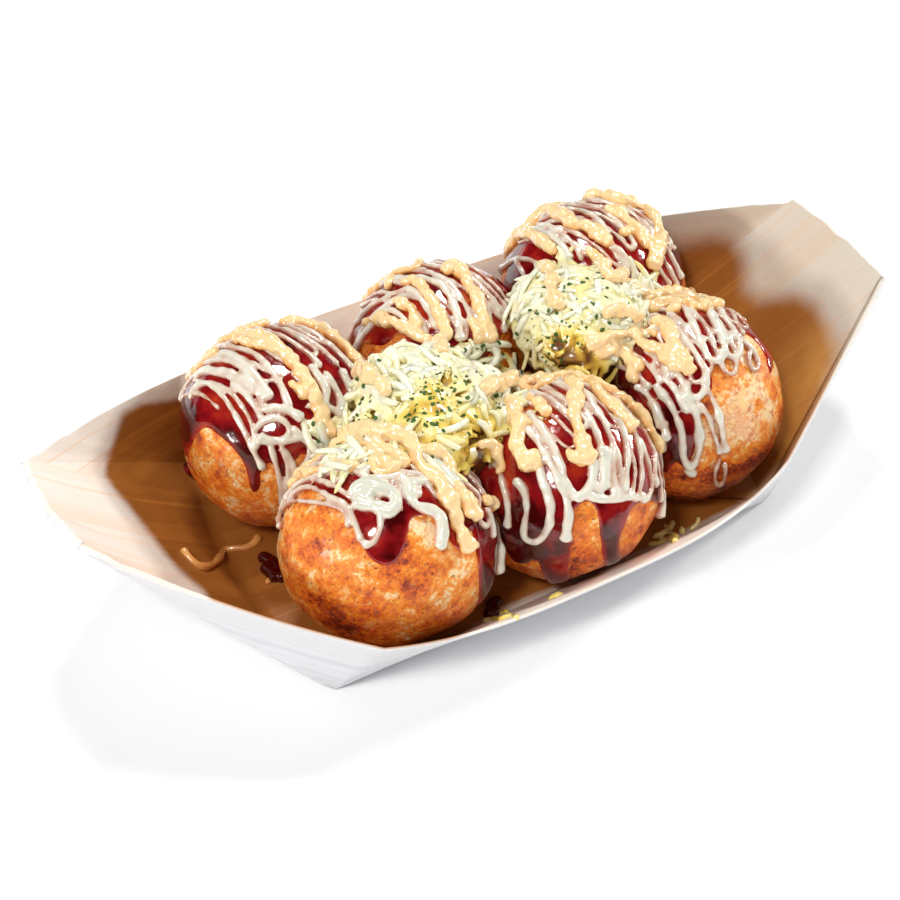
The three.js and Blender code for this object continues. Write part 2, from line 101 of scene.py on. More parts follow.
def unit(vectors):
    return vectors / np.maximum(lengths_of(vectors), 1e-9)[..., None]


print("first draw of seed 11:", round(seeded_random(11)(), 4))

# %% [markdown]
# ## Camera
# The camera stands high in front of the tray and a little to its left. It is made first, because the
# drizzled lines further down are drawn in its view and then dropped onto the food under them.

# %% Camera
FRAME_SIDE = 900
FOCAL_PIXELS = 1500
CAMERA_YAW = math.radians(-29.23)
CAMERA_HEIGHT = math.radians(44)
CAMERA_DISTANCE = 325.57
CAMERA_TARGET = np.array([-6.456, 0.823, 15.0])
SENSOR_WIDTH = 36
# Dots of the view that a millimetre takes up: about the food, and further off down on the tray.
DOTS_PER_MM = 4.7
DOTS_PER_MM_ON_TRAY = 4.5


def looking_away_from(place, back):
    """The matrix of a camera or lamp that stands at a place, in metres, with its back in a direction."""
    return Matrix.Translation(Vector(place)) @ Vector(back).to_track_quat("Z", "Y").to_matrix().to_4x4()


backward = np.array([
    math.sin(CAMERA_YAW) * math.cos(CAMERA_HEIGHT),
    -math.cos(CAMERA_YAW) * math.cos(CAMERA_HEIGHT),
    math.sin(CAMERA_HEIGHT),
])
eye = CAMERA_TARGET + CAMERA_DISTANCE * backward
rightward = unit(np.cross(-backward, [0, 0, 1]))
upward = np.cross(rightward, -backward)

camera_data = bpy.data.cameras.new("camera")
camera_data.sensor_width = SENSOR_WIDTH
camera_data.lens = SENSOR_WIDTH * FOCAL_PIXELS / FRAME_SIDE
camera = bpy.data.objects.new("camera", camera_data)
camera.matrix_world = looking_away_from(eye * MM, backward)
bpy.context.scene.collection.objects.link(camera)
bpy.context.scene.camera = camera
print("camera at", np.round(eye, 1), "mm, lens", camera_data.lens, "mm")


# %% Between dots of the view and points
def sight_lines(dots):
    """Unit directions from the camera through points of its 900 by 900 view."""
    dots = np.asarray(dots, float)
    across = (dots[:, :1] - FRAME_SIDE / 2) / FOCAL_PIXELS
    down = (dots[:, 1:] - FRAME_SIDE / 2) / FOCAL_PIXELS
    return unit(-backward + across * rightward - down * upward)


def dots_of(points):
    """Where points appear in the camera's 900 by 900 view."""
    offset = points - eye
    depth = offset @ -backward
    across = offset @ rightward / depth * FOCAL_PIXELS + FRAME_SIDE / 2
    down = FRAME_SIDE / 2 - offset @ upward / depth * FOCAL_PIXELS
    return np.stack([across, down], axis=-1)


def inside_loop(dots, loop):
    """Whether points of a plane lie inside a closed loop: counts the loop's sides to the right of each."""
    crossings = np.zeros(len(dots), int)
    for (ax, ay), (bx, by) in zip(loop, np.roll(loop, -1, axis=0)):
        if ay == by:
            continue
        straddles = (dots[:, 1] > min(ay, by)) & (dots[:, 1] <= max(ay, by))
        crossings += straddles & (ax + (dots[:, 1] - ay) * (bx - ax) / (by - ay) > dots[:, 0])
    return crossings % 2 == 1


print("the tray's middle is at dot", np.round(dots_of(np.zeros(3))))

# %% [markdown]
# ## Node trees written as expressions
# Finishes and growing things are node trees. A tree reads better as arithmetic, so a small class wraps a
# socket and adds a Math node for each operator. One method makes any other node from its type, its
# settings and what goes into its sockets.

# %% A wrapped socket
class Wire:
    """An output socket that takes part in arithmetic."""

    def __init__(self, graph, socket):
        self.graph = graph
        self.socket = socket

    def math(self, operation, *values):
        return self.graph.wire("ShaderNodeMath", {"operation": operation}, dict(enumerate(values)))

    def __add__(self, other):
        return self.math("ADD", self, other)

    def __sub__(self, other):
        return self.math("SUBTRACT", self, other)

    def __rsub__(self, other):
        return self.math("SUBTRACT", other, self)

    def __mul__(self, other):
        return self.math("MULTIPLY", self, other)

    def __pow__(self, other):
        return self.math("POWER", self, other)

    __radd__ = __add__
    __rmul__ = __mul__


print("a wire takes part in sums")


# %% A graph that makes nodes
class Graph:
    """A node tree, with one method that makes any node and short names for the usual ones."""

    def __init__(self, tree):
        self.tree = tree

    def node(self, kind, settings=None, sockets=None):
        made = self.tree.nodes.new(kind)
        for key, value in (settings or {}).items():
            if key == "stops":
                for place, colour in value[2:]:
                    made.color_ramp.elements.new(place)
                for element, (place, colour) in zip(made.color_ramp.elements, value):
                    element.position = place
                    element.color = (*colour, 1)
            else:
                setattr(made, key, value)
        for key, value in (sockets or {}).items():
            self.feed(made.inputs[key], value)
        return made

    def feed(self, socket, value):
        if isinstance(value, Wire):
            self.tree.links.new(value.socket, socket)
        else:
            socket.default_value = value

    def wire(self, kind, settings=None, sockets=None, output=0):
        return Wire(self, self.node(kind, settings, sockets).outputs[output])

    def vector(self, x=0.0, y=0.0, z=0.0):
        return self.wire("ShaderNodeCombineXYZ", None, {0: x, 1: y, 2: z})

    # Only trees that grow things use these two.
    def carried(self, name):
        return self.wire("GeometryNodeInputNamedAttribute", {"data_type": "FLOAT"}, {"Name": name})

    def chance(self, low, high, salt, seed):
        """A number between two limits for each point or piece; the salt keeps one draw apart from others."""
        sockets = {2: low, 3: high, "Seed": seed + salt}
        return self.wire("FunctionNodeRandomValue", {"data_type": "FLOAT"}, sockets, 1)

    # Only finishes use the rest.
    def part(self, vector, axis):
        return self.wire("ShaderNodeSeparateXYZ", None, {0: vector}, "XYZ".index(axis))

    def noise(self, where, scale, detail=2.0, roughness=0.5):
        sockets = {"Vector": where, "Scale": scale, "Detail": detail, "Roughness": roughness}
        return self.wire("ShaderNodeTexNoise", None, sockets)

    def step(self, value, low, high, to_low=0.0, to_high=1.0):
        sockets = {"Value": value, "From Min": low, "From Max": high, "To Min": to_low, "To Max": to_high}
        return self.wire("ShaderNodeMapRange", {"interpolation_type": "SMOOTHSTEP"}, sockets)

    def blend(self, share, first, second):
        settings = {"data_type": "RGBA", "blend_type": "MIX", "clamp_factor": True}
        colours = [value if isinstance(value, Wire) else (*value, 1) for value in (first, second)]
        return self.wire("ShaderNodeMix", settings, {0: share, 6: colours[0], 7: colours[1]}, 2)

    def ramp(self, value, stops):
        return self.wire("ShaderNodeValToRGB", {"stops": stops}, {"Fac": value})

    def attribute(self, name):
        return self.wire("ShaderNodeAttribute", {"attribute_name": name}, None, "Fac")

    def bump(self, height, distance, strength):
        sockets = {"Height": height, "Distance": distance, "Strength": strength}
        return self.wire("ShaderNodeBump", None, sockets)


print("a graph makes any node")


# %% Finishes
def new_finish(name):
    """A material, the graph in it, and where its surface points lie on the object."""
    material = bpy.data.materials.new(name)
    material.use_nodes = True
    graph = Graph(material.node_tree)
    place = graph.wire("ShaderNodeTexCoord", None, None, "Object")
    return material, graph, place


def set_shader(material, graph, **values):
    """Sets the Principled shader's sockets: 'Base_Color' names the socket 'Base Color'."""
    shader = material.node_tree.nodes["Principled BSDF"]
    for key, value in values.items():
        graph.feed(shader.inputs[key.replace("_", " ")], value)
    print("finish", material.name, "has", len(material.node_tree.nodes), "nodes")


print("finish helpers ready")

# %% [markdown]
# ## From arrays to objects
# Every piece ends as a plain mesh at the origin, with its place in its points. Numbers that a finish needs,
# such as how thick the sauce is at a point, ride along as attributes of the mesh.

# %% Mesh helpers
def set_attribute(made, key, values):
    made.data.attributes.new(key, "FLOAT", "POINT").data.foreach_set("value", np.asarray(values, np.float32))


def new_object(name, points, edges, faces, finish=None, smooth=True, **attributes):
    """An object from points in millimetres, with a number for each point in every attribute."""
    mesh = bpy.data.meshes.new(name)
    mesh.from_pydata((np.asarray(points) * MM).tolist(), edges, [list(face) for face in faces])
    made = bpy.data.objects.new(name, mesh)
    bpy.context.scene.collection.objects.link(made)
    if finish:
        mesh.materials.append(finish)
    for key, values in attributes.items():
        set_attribute(made, key, values)
    mesh.polygons.foreach_set("use_smooth", [smooth] * len(mesh.polygons))
    return made


def settle(made, name, finish=None):
    """The object with its modifiers applied, as a new plain mesh under its final name."""
    mesh = bpy.data.meshes.new_from_object(made.evaluated_get(bpy.context.evaluated_depsgraph_get()))
    old = made.data
    bpy.data.objects.remove(made)
    bpy.data.meshes.remove(old)
    mesh.name = name
    settled = bpy.data.objects.new(name, mesh)
    bpy.context.scene.collection.objects.link(settled)
    if finish:
        mesh.materials.clear()
        mesh.materials.append(finish)
    mesh.polygons.foreach_set("use_smooth", [True] * len(mesh.polygons))
    return settled


def of_each_point(made, key):
    values = np.empty(3 * len(made.data.vertices), np.float32)
    made.data.vertices.foreach_get(key, values)
    return values.reshape(-1, 3).astype(float)


def points_of(made):
    return of_each_point(made, "co") / MM


def normals_of(made):
    return of_each_point(made, "normal")


def move_points(made, places):
    made.data.vertices.foreach_set("co", (places * MM).astype(np.float32).ravel())
    made.data.update()


def hand_over(piece, slot, *nodes):
    """Every piece rides on the one body; the solids that it stands for are hidden."""
    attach(piece, "root")
    if nodes:
        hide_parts(*nodes)
    triangles = sum(len(face.vertices) - 2 for face in piece.data.polygons)
    print(f"{piece.name}: {triangles} triangles")


print("mesh helpers ready")

# %% [markdown]
# ## The tray's net
# The tray is one sheet of veneer. Its long sides are folded up along two creases, and at each end the four
# layers are folded over each other and rise to two tips. The front half's end lies inside, over the back
# half's. The same corners as in the solid carry a finer net here, so that the creases bend softly, the cut
# ends can be a little torn, and each field of wood has its own run of grain.

# %% Corners and outlines of the sheet
# Each corner has its foot on the base, the top of the crease beside it, the raised tip at its end, and how
# far the edge between crease and tip bulges out.
VENEER = 0.6
RIM_HEIGHT = 20
RIM_REACH = 51.15
TIP_HEIGHT = 40
TIP_BOW = 1.4
BASE_BOW = 6
END_SAG = 2.2
LAP_SHARE = 0.85
CORNERS = {
    "frontLeft": {"base": (-52, -34.35), "rim": (-47, -46.9, 23), "tip": (-90, -10.85), "bulge": 2.1},
    "frontRight": {"base": (54, -34.35), "rim": (48.6, -44.7, 24), "tip": (90.5, -20.85), "bulge": 0.2},
    "backRight": {"base": (60, 43.5), "rim": (57, 48.5, 21.5), "tip": (91.87, 12.15), "bulge": 1.2},
    "backLeft": {"base": (-52, 39), "rim": (-50, 45, 22), "tip": (-92.1, 15.15), "bulge": 1.5},
}


def base_corner(name):
    return np.array([*CORNERS[name]["base"], 0.0])


def tip(name):
    return np.array([*CORNERS[name]["tip"], float(TIP_HEIGHT)])


def rim_corner(name):
    return np.array(CORNERS[name]["rim"], float)


def rim_along_side(x, side):
    corner = rim_corner(side + ("Left" if x < 0 else "Right"))
    middle = np.array([0, math.copysign(RIM_REACH, corner[1]), RIM_HEIGHT])
    point = middle + (corner - middle) * abs(x / corner[0]) ** 3
    point[0] = x
    return point


def bowed(start, bend, end, share):
    """A point of the curve from start to end that a third point pulls to its side."""
    return (1 - share) ** 2 * start + 2 * share * (1 - share) * bend + share ** 2 * end


def rise_point(name, share):
    start, end = rim_corner(name), tip(name)
    along = unit((end - start) * [1, 1, 0])
    outward = np.array([-along[1], along[0], 0])
    if outward[1] * start[1] < 0:
        outward = -outward
    return bowed(start, (start + end) / 2 + 2 * CORNERS[name]["bulge"] * outward, end, share)


def end_edge_point(end, share):
    front, back = tip("front" + end), tip("back" + end)
    bend = (front + back) / 2
    bend[0] += math.copysign(2 * TIP_BOW, bend[0])
    return bowed(front, bend, back, share)


print("rim halfway along the front:", rim_along_side(0, "front"))

# %% [markdown]
# ## The balls' skins
# A ball is a distance from its middle for every direction: a radius with broad lumps and small dimples, cut
# flat where it sits on the tray and where neighbours press on it. Knowing the skin as a rule makes all the
# rest easy, since sauce is the same skin a little further out, and a drizzled line is a path along it.

# %% Balls, and what presses them flat
BALLS = {
    "front_left": {"radius": 21.1, "x": -33.1, "y": -20.95, "stretch": (1, 1, 0.99), "seed": 11},
    "front_middle": {"radius": 20.6, "x": 6.6, "y": -23.15, "stretch": (1.01, 0.99, 1), "seed": 23},
    "front_right": {"radius": 20.7, "x": 43.7, "y": -16.15, "stretch": (0.99, 1.01, 1.06), "seed": 31},
    "back_left": {"radius": 21.2, "x": -36.7, "y": 20.35, "stretch": (1.02, 1, 0.98), "seed": 47},
    "back_middle": {"radius": 20.2, "x": 5.6, "y": 25.95, "stretch": (1, 1, 0.99), "seed": 53},
    "back_right": {"radius": 21.7, "x": 46.7, "y": 26.85, "stretch": (1, 0.99, 0.99), "seed": 67},
}
BALL_SIT = 0.95
TOUCH_GAP = 0.32
WALL_GAP = 0.6
NEARLY_TOUCHING = 6
BESIDE_BALL = 12


def middle_of(ball):
    return np.array([ball["x"], ball["y"], BALL_SIT * ball["radius"]])


def tray_walls(ball):
    """The tray's walls as planes: a foot, a normal that points out, and how many layers lie inside."""
    threes = []
    for side in ("front", "back"):
        for ahead in (-BESIDE_BALL, 0, BESIDE_BALL):
            feet = base_corner(side + "Left"), base_corner(side + "Right")
            threes.append((*feet, rim_along_side(ball["x"] + ahead, side), 1))
        for end in ("Left", "Right"):
            name = side + end
            threes.append((base_corner(name), rim_corner(name), tip(name), 1))
            threes.append((base_corner("front" + end), base_corner("back" + end), tip(name), 2))
            threes.append((base_corner(name), tip("front" + end), tip("back" + end), 2))
    for foot, second, third, layers in threes:
        normal = unit(np.cross(second - foot, third - foot))
        if (np.array([0, 0, TIP_HEIGHT]) - foot) @ normal > 0:
            normal = -normal
        yield foot, normal, layers


def pressing_planes(ball):
    """What presses the ball flat, as pairs of a direction and how far that plane is from its middle."""
    middle = middle_of(ball)
    planes = [(np.array([0, 0, -1.0]), middle[2] - VENEER - TOUCH_GAP)]
    for foot, normal, layers in tray_walls(ball):
        planes.append((normal, (foot - middle) @ normal - layers * VENEER - WALL_GAP))
    for other in BALLS.values():
        across = middle_of(other) - middle
        apart = float(lengths_of(across))
        if other is not ball and apart < ball["radius"] + other["radius"] + NEARLY_TOUCHING:
            share = (apart ** 2 + ball["radius"] ** 2 - other["radius"] ** 2) / (2 * apart)
            planes.append((unit(across), share - TOUCH_GAP / 2))
    return planes


print("planes about the front left ball:", len(pressing_planes(BALLS["front_left"])))

# %% Skin of a ball in any direction
LUMP_HEIGHT = 0.022
CRUST_HEIGHT = 0.007
WRINKLE_HEIGHT = 0.0022
EDGE_ROUNDING = 1.6
LEAST_FACING = 0.2
FAR_OFF = 1e3


def give_skin(ball):
    """Adds the ball's middle, and the rule that gives its skin."""
    draw = seeded_random(ball["seed"])
    lumps = wave_field(draw, 7, 2, 4.5)
    crust = wave_field(draw, 24, 11, 17)
    wrinkles = wave_field(draw, 60, 30, 75)
    planes = pressing_planes(ball)
    stretch = np.array(ball["stretch"])

    def reach(directions, grow=0.0, press=0.0, wrinkled=1.0):
        """Distance of the skin from the middle; grow lifts it, and press lifts its flat places."""
        bumps = 1 + LUMP_HEIGHT * lumps(directions) + CRUST_HEIGHT * crust(directions)
        bumps = bumps + wrinkled * WRINKLE_HEIGHT * wrinkles(directions)
        length = ball["radius"] * bumps * lengths_of(directions * stretch) + grow
        for normal, distance in planes:
            facing = directions @ normal
            plane = (distance + press) / np.maximum(facing, LEAST_FACING)
            flat = np.where(facing > LEAST_FACING, plane, FAR_OFF)
            share = np.clip(0.5 + 0.5 * (flat - length) / EDGE_ROUNDING, 0, 1)
            length = flat + (length - flat) * share - EDGE_ROUNDING * share * (1 - share)
        return length

    ball["middle"] = middle_of(ball)
    ball["reach"] = reach


for ball in BALLS.values():
    give_skin(ball)
print("crown of the front left ball:", BALLS["front_left"]["reach"](np.array([[0, 0, 1.0]])))

# %% A fine round net of directions, shared by all balls
def round_net(detail):
    """Directions spread evenly all round, and the triangles between them."""
    net = bmesh.new()
    bmesh.ops.create_icosphere(net, subdivisions=detail, radius=1)
    directions = unit(np.array([vertex.co[:] for vertex in net.verts]))
    faces = np.array([[vertex.index for vertex in face.verts] for face in net.faces])
    net.free()
    return directions, faces


DIRECTIONS, ROUND_FACES = round_net(7)
print(len(DIRECTIONS), "directions on a ball")

# %% [markdown]
# ## The mounds of cheese
# The shredded cheese lies in the two hollows between four balls. Like a ball, each mound is a distance from
# a middle in every direction. A drizzle or a spot of cheese is drawn as dots of the camera's view, so a
# search along the sight line finds the food that each dot lands on.

# %% Shape of a mound
SHRED_DEPTH = 0.8
MOUND_UNEVENNESS = 0.07
HEAPS = {
    "left": {"middle": (-14.5, -5.5, 31.5), "half": (15.5, 16, 11.5), "seed": 71},
    "right": {"middle": (27.6, 4.6, 31.5), "half": (12.5, 15, 11), "seed": 83},
}


def give_mound(heap):
    """Adds the rule that gives the mound's skin, with its middle as numbers to reckon with."""
    bumps = wave_field(seeded_random(heap["seed"]), 12, 4, 9)
    half = np.array(heap["half"], float)
    heap["middle"] = np.array(heap["middle"], float)
    heap["reach"] = lambda directions, grow=SHRED_DEPTH: (
        (1 + MOUND_UNEVENNESS * bumps(directions)) / lengths_of(directions / half) + grow)


for heap in HEAPS.values():
    give_mound(heap)
print("mounds:", *HEAPS)

# %% Food under a dot of the view
FOODS = [*BALLS.values(), *HEAPS.values()]
FIRST_GUESS = 15.0
SEARCH_ROUNDS = 8
BESIDE_PENALTY = 300
MISS_PENALTY = 20


def nearest_food(dots, foods):
    """Where dots of the view land on any of these foods; one just beside a food rests on its rim."""
    lines = sight_lines(dots)
    best = np.full(len(lines), np.inf)
    points = np.zeros((len(lines), 3))
    for food in foods:
        to_middle = food["middle"] - eye
        closest = lines @ to_middle
        travel = closest - FIRST_GUESS
        for _ in range(SEARCH_ROUNDS):
            reached = eye + travel[:, None] * lines
            length = food["reach"](unit(reached - food["middle"]))
            gap = length ** 2 - (to_middle @ to_middle - closest ** 2)
            beside = gap < 0
            travel = closest - np.sqrt(np.maximum(gap, 0))
        miss = np.sqrt(np.maximum(-gap, 0))
        score = travel + np.where(beside, BESIDE_PENALTY + MISS_PENALTY * miss, 0)
        better = score < best
        nearby = eye + travel[:, None] * lines
        out = unit(nearby - food["middle"])
        points[better] = (food["middle"] + out * food["reach"](out)[:, None])[better]
        best[better] = score[better]
    return points


print("food seen mid-view:", np.round(nearest_food([(450, 450)], FOODS), 1))

# %% Height above the food
NEAR_A_FOOD = 40


def clear_of_food(points, lift):
    """Points pushed out until they are at least 'lift' above every skin."""
    points = points.copy()
    for food in FOODS:
        offset = points - food["middle"]
        out = unit(offset)
        short = food["reach"](out) + lift - lengths_of(offset)
        points += out * np.maximum(short, 0)[:, None]
    return points


def height_above(points, foods):
    """How high points are above the nearest of these skins; far from all of them it is a large number."""
    heights = np.full(len(points), FAR_OFF)
    for food in foods:
        offset = points - food["middle"]
        near = lengths_of(offset) < NEAR_A_FOOD
        if near.any():
            above = lengths_of(offset[near]) - food["reach"](unit(offset[near]))
            heights[near] = np.minimum(heights[near], above)
    return heights


print("room over the food in the middle:", height_above(np.array([[0, 0, TIP_HEIGHT]]), FOODS))

# %% [markdown]
# ## Wood finish
# Freshly cut softwood veneer is pale cream with thin orange lines of late growth. Oil and steam from the
# balls darken it where they lie, and painted shade of the balls deepens that to a deep warm brown; painted
# light turns it gold towards the right-hand end. The outside stays dry, and is painted cooler and greyer, as
# cool shade. The grain reads the sheet's own flat coordinates, so it follows the folds. Two attributes say
# how far the oil and the painted shade reach, and which points belong to the outside.

# %% Wood
wood, g, place = new_finish("veneer")
flat = g.wire("ShaderNodeUVMap", {"uv_map": "grain"})
along = g.part(flat, "X")
across = g.part(flat, "Y")
wander = g.noise(g.vector(along * 14, across * 60, 0.3), 1.0)
lane = across * 1000 + (wander - 0.5) * 4.0
stretched = g.vector(along * 7, lane)
bands = g.noise(stretched, 0.13)
lines = g.noise(stretched, 0.55, 2.0, 0.6)
fibres = g.noise(g.vector(along * 90, lane * 4.0), 1.0, 3.0, 0.6)
cloud = g.noise(place, 38, 3.0, 0.6)
late_wood = g.step(lines, 0.56, 0.70) * 0.45 + g.step(bands, 0.50, 0.60) * 0.32
outside = g.attribute("outer")
towards_right = g.step(g.part(place, "X"), 0.045, 0.075)
towards_front = g.step(g.part(place, "Y"), -0.006, -0.026)

# Dry wood: cream within, and grey without, a cool painted shade; a little darker at the right-hand end.
early = g.blend(outside, (0.89, 0.83, 0.75), (0.70, 0.72, 0.75))
late = g.blend(outside, (0.90, 0.58, 0.35), (0.66, 0.62, 0.60))
dry = g.blend(late_wood, early, late)
dry = g.blend(g.step(lines, 0.46, 0.62) * outside * 0.5, dry, (0.53, 0.55, 0.58))
# Painted shade: inside the right-hand end the dry wood turns darker and greyer.
painted_end_shade = g.blend(late_wood, (0.56, 0.49, 0.40), (0.62, 0.40, 0.22))
dry = g.blend(towards_right * (1 - outside) * 0.75, dry, painted_end_shade)
dry = g.blend(g.step(fibres, 0.35, 0.7) * 0.14, dry, (0.78, 0.67, 0.56))
dry = g.blend(g.step(cloud, 0.45, 0.75) * 0.18, dry, (0.74, 0.64, 0.54))

# Oiled wood, deepened by the balls' painted shade to a dark brown, and gold at the right-hand end.
oiled_and_shaded = g.blend(late_wood * 1.4, (0.40, 0.145, 0.028), (0.66, 0.26, 0.045))
# Painted light: a glow of gold near the front of the right-hand end, as if light came through the wood.
painted_glow = g.blend(late_wood, (0.78, 0.41, 0.11), (0.88, 0.46, 0.11))
oiled_and_shaded = g.blend(towards_right * towards_front * 0.9, oiled_and_shaded, painted_glow)
oiled_and_shaded = g.blend(g.step(cloud, 0.3, 0.75) * 0.6, oiled_and_shaded, (0.24, 0.075, 0.010))
oiled_and_shaded = g.blend(g.step(fibres, 0.3, 0.7) * 0.3, oiled_and_shaded, (0.26, 0.085, 0.014))

# The edge of the oil and the painted shade is ragged, and softer at the right-hand end, where the painted
# shadow's edge is soft.
softness = 1.1 + towards_right * 2.2
reached = g.attribute("soak") + (cloud - 0.5) * 2.6 + (fibres - 0.5) * 1.0
wet_and_shaded = g.step(reached, 0.0 - softness, softness) * (1 - outside)
colour = g.blend(wet_and_shaded, dry, oiled_and_shaded)
relief = g.bump(fibres * 0.6 + lines * 0.4, 0.00018, 0.7)
set_shader(
    wood, g, Base_Color=colour, Roughness=g.step(wet_and_shaded + fibres * 0.3, 0.0, 1.2, 0.62, 0.40), Normal=relief,
    Specular_IOR_Level=0.3)

# %% [markdown]
# ## Tray
# The sheet is a net of ribs that run from the base's outline up to the rim. Between two ribs the net is
# split into rows. Both faces share the net, one thickness apart, and the ends have a second layer inside,
# which stops along a straight cut. The rim of the raised ends was torn across the grain, so it is jagged.
# A rib says where it starts and ends, how far its middle sags, how many layers lie on either side of the
# net, and which field of the sheet it belongs to.

# %% Ribs of the sheet
SIDE_PIECES = 60
FAN_PIECES = 22
LAP_PIECES = 44
BARE_PIECES = 8
WALL_ROWS = 18
LEAN_SHARE = 0.2
OUTER_LAYER = (0.5, 0.75)


def side_ribs(side):
    for index in range(1, SIDE_PIECES):
        share = index / SIDE_PIECES
        left, right = CORNERS[side + "Left"], CORNERS[side + "Right"]
        rim_x = left["rim"][0] + (right["rim"][0] - left["rim"][0]) * share
        base = base_corner(side + "Left") * (1 - share) + base_corner(side + "Right") * share
        yield {"base": base, "rim": rim_along_side(rim_x, side), "sag": 0, "inside": 1, "outside": 0,
               "field": side}


def fan_ribs(name):
    for index in range(FAN_PIECES + 1):
        share = index / FAN_PIECES
        outside = float(smooth_step(*OUTER_LAYER, share)) if name.startswith("front") else 0
        yield {"base": base_corner(name), "rim": rise_point(name, share), "sag": 0, "inside": 1,
               "outside": outside, "field": name}


def end_ribs(end):
    shares = [(LAP_SHARE * index / LAP_PIECES, 2) for index in range(LAP_PIECES + 1)]
    shares += [(LAP_SHARE + (1 - LAP_SHARE) * index / BARE_PIECES, 1) for index in range(BARE_PIECES + 1)]
    for share, inside in shares:
        base = base_corner("front" + end) * (1 - share) + base_corner("back" + end) * share
        base[0] += math.copysign(BASE_BOW * 4 * share * (1 - share), base[0])
        # The ribs lean, because the rim of the end is shorter than its foot.
        on_edge = min(max((share - LEAN_SHARE) / (LAP_SHARE - LEAN_SHARE), 0), 1)
        yield {"base": base, "rim": end_edge_point(end, on_edge), "sag": END_SAG * math.sin(math.pi * share),
               "inside": inside, "outside": 1, "field": ("lap" if inside == 2 else "bare") + end}


ribs = [
    *side_ribs("front"), *fan_ribs("frontRight"), *end_ribs("Right"), *list(fan_ribs("backRight"))[::-1],
    *list(side_ribs("back"))[::-1], *fan_ribs("backLeft"), *list(end_ribs("Left"))[::-1],
    *list(fan_ribs("frontLeft"))[::-1],
]
print(len(ribs), "ribs")

# %% Points of the sheet's outer face, its normals and its two faces
TEAR_DEPTH = 0.33
DEEPEST_TEAR = 2.2
ENDS_OUT = (60, 88)
ENDS_UP = (30, 38)
LEAST_LEAN = 0.6
tear = wave_field(seeded_random(5), 30, 0.35, 2.6)
rise = np.linspace(0, 1, WALL_ROWS + 1)
bases = np.array([rib["base"] for rib in ribs])
rims = np.array([rib["rim"] for rib in ribs])
end_share = smooth_step(*ENDS_OUT, np.abs(rims[:, 0])) * smooth_step(*ENDS_UP, rims[:, 2])
rims[:, 2] -= TEAR_DEPTH * end_share * np.clip(tear(rims * [0.2, 1, 0]) + 0.4, 0, DEEPEST_TEAR)
grid = bases[:, None] + (rims - bases)[:, None] * rise[:, None]
sag = np.array([rib["sag"] for rib in ribs])
grid[:, :, 2] -= sag[:, None] * (4 * rise * (1 - rise))

up_rib = np.gradient(grid, axis=1)
round_ring = np.roll(grid, -1, axis=0) - np.roll(grid, 1, axis=0)
wall_normal = np.cross(up_rib, round_ring)
# Where ribs meet in one point, the normal is that of the row below.
for index in range(1, WALL_ROWS + 1):
    tight = lengths_of(wall_normal[:, index]) < 1e-6
    wall_normal[tight, index] = wall_normal[tight, index - 1]
wall_normal = unit(wall_normal)
# At the foot of the wall the sheet turns into the floor, so the normal leans halfway to straight up.
foot = unit(wall_normal[:, 1] + [0, 0, 1])
wall_normal[:, 0] = foot / np.maximum((foot * wall_normal[:, 1]).sum(axis=1), LEAST_LEAN)[:, None]
layers_in = np.array([rib["inside"] for rib in ribs], float)
layers_out = np.array([rib["outside"] for rib in ribs], float)
inner = grid + wall_normal * VENEER * layers_in[:, None, None]
inner[:, 0] = grid[:, 0] + wall_normal[:, 0] * VENEER
outer = grid - wall_normal * VENEER * layers_out[:, None, None]
# Down at the foot the sheet is one layer.
outer[:, 0] = grid[:, 0]
print("ring of", grid.shape[0], "ribs with", grid.shape[1], "rows")

# %% Grain coordinates: each field of the sheet has a line that its grain follows
def grain_line(start, end):
    return np.array(start, float), unit(np.array(end, float) - np.array(start, float))


ABOVE_FLOOR = VENEER + 0.3
# Each field reads the pattern at another place, so that the grain breaks at the folds.
PATTERN_PLACE = (200, 70)
PATTERN_SHIFT = 37
GRAIN = {"front": None, "back": None, "floor": None}
for corner in CORNERS:
    GRAIN[corner] = grain_line(rim_corner(corner), tip(corner))
for end in ("Left", "Right"):
    base = base_corner("front" + end) * (1 - LAP_SHARE) + base_corner("back" + end) * LAP_SHARE
    GRAIN["lap" + end] = grain_line(base, tip("back" + end))
    GRAIN["bare" + end] = grain_line(rim_corner("back" + end), tip("back" + end))


def grain_coordinates(points, field):
    """Along and across the grain, in metres, for points of one field of the sheet."""
    if GRAIN[field] is None:
        slant = np.where(points[:, 2] > ABOVE_FLOOR, np.sign(points[:, 1]) * points[:, 2], 0)
        return np.stack([points[:, 0], points[:, 1] + slant], axis=1) * MM
    start, direction = GRAIN[field]
    offset = points - start
    along = offset @ direction
    across = lengths_of(offset - along[:, None] * direction) + PATTERN_SHIFT * len(field)
    return (np.stack([along, across], axis=1) + PATTERN_PLACE) * MM


print("grain runs in", len(GRAIN), "fields")

# %% Faces of the sheet
FLOOR_ROWS = 26
points = [*outer.reshape(-1, 3), *inner.reshape(-1, 3)]
columns = WALL_ROWS + 1
count = len(ribs)
shift = count * columns
faces = []
fields = []
for index in range(count):
    after = (index + 1) % count
    field, next_field = ribs[index]["field"], ribs[after]["field"]
    if next_field.startswith(("lap", "bare")) and not field.startswith(("lap", "bare")):
        field = next_field
    for row in range(WALL_ROWS):
        here, there = index * columns + row, after * columns + row
        faces.append((here, there, there + 1, here + 1))
        faces.append((shift + here, shift + here + 1, shift + there + 1, shift + there))
        fields += [field, field]
    here, there = index * columns + WALL_ROWS, after * columns + WALL_ROWS
    faces.append((here, there, shift + there, shift + here))
    fields.append(field)

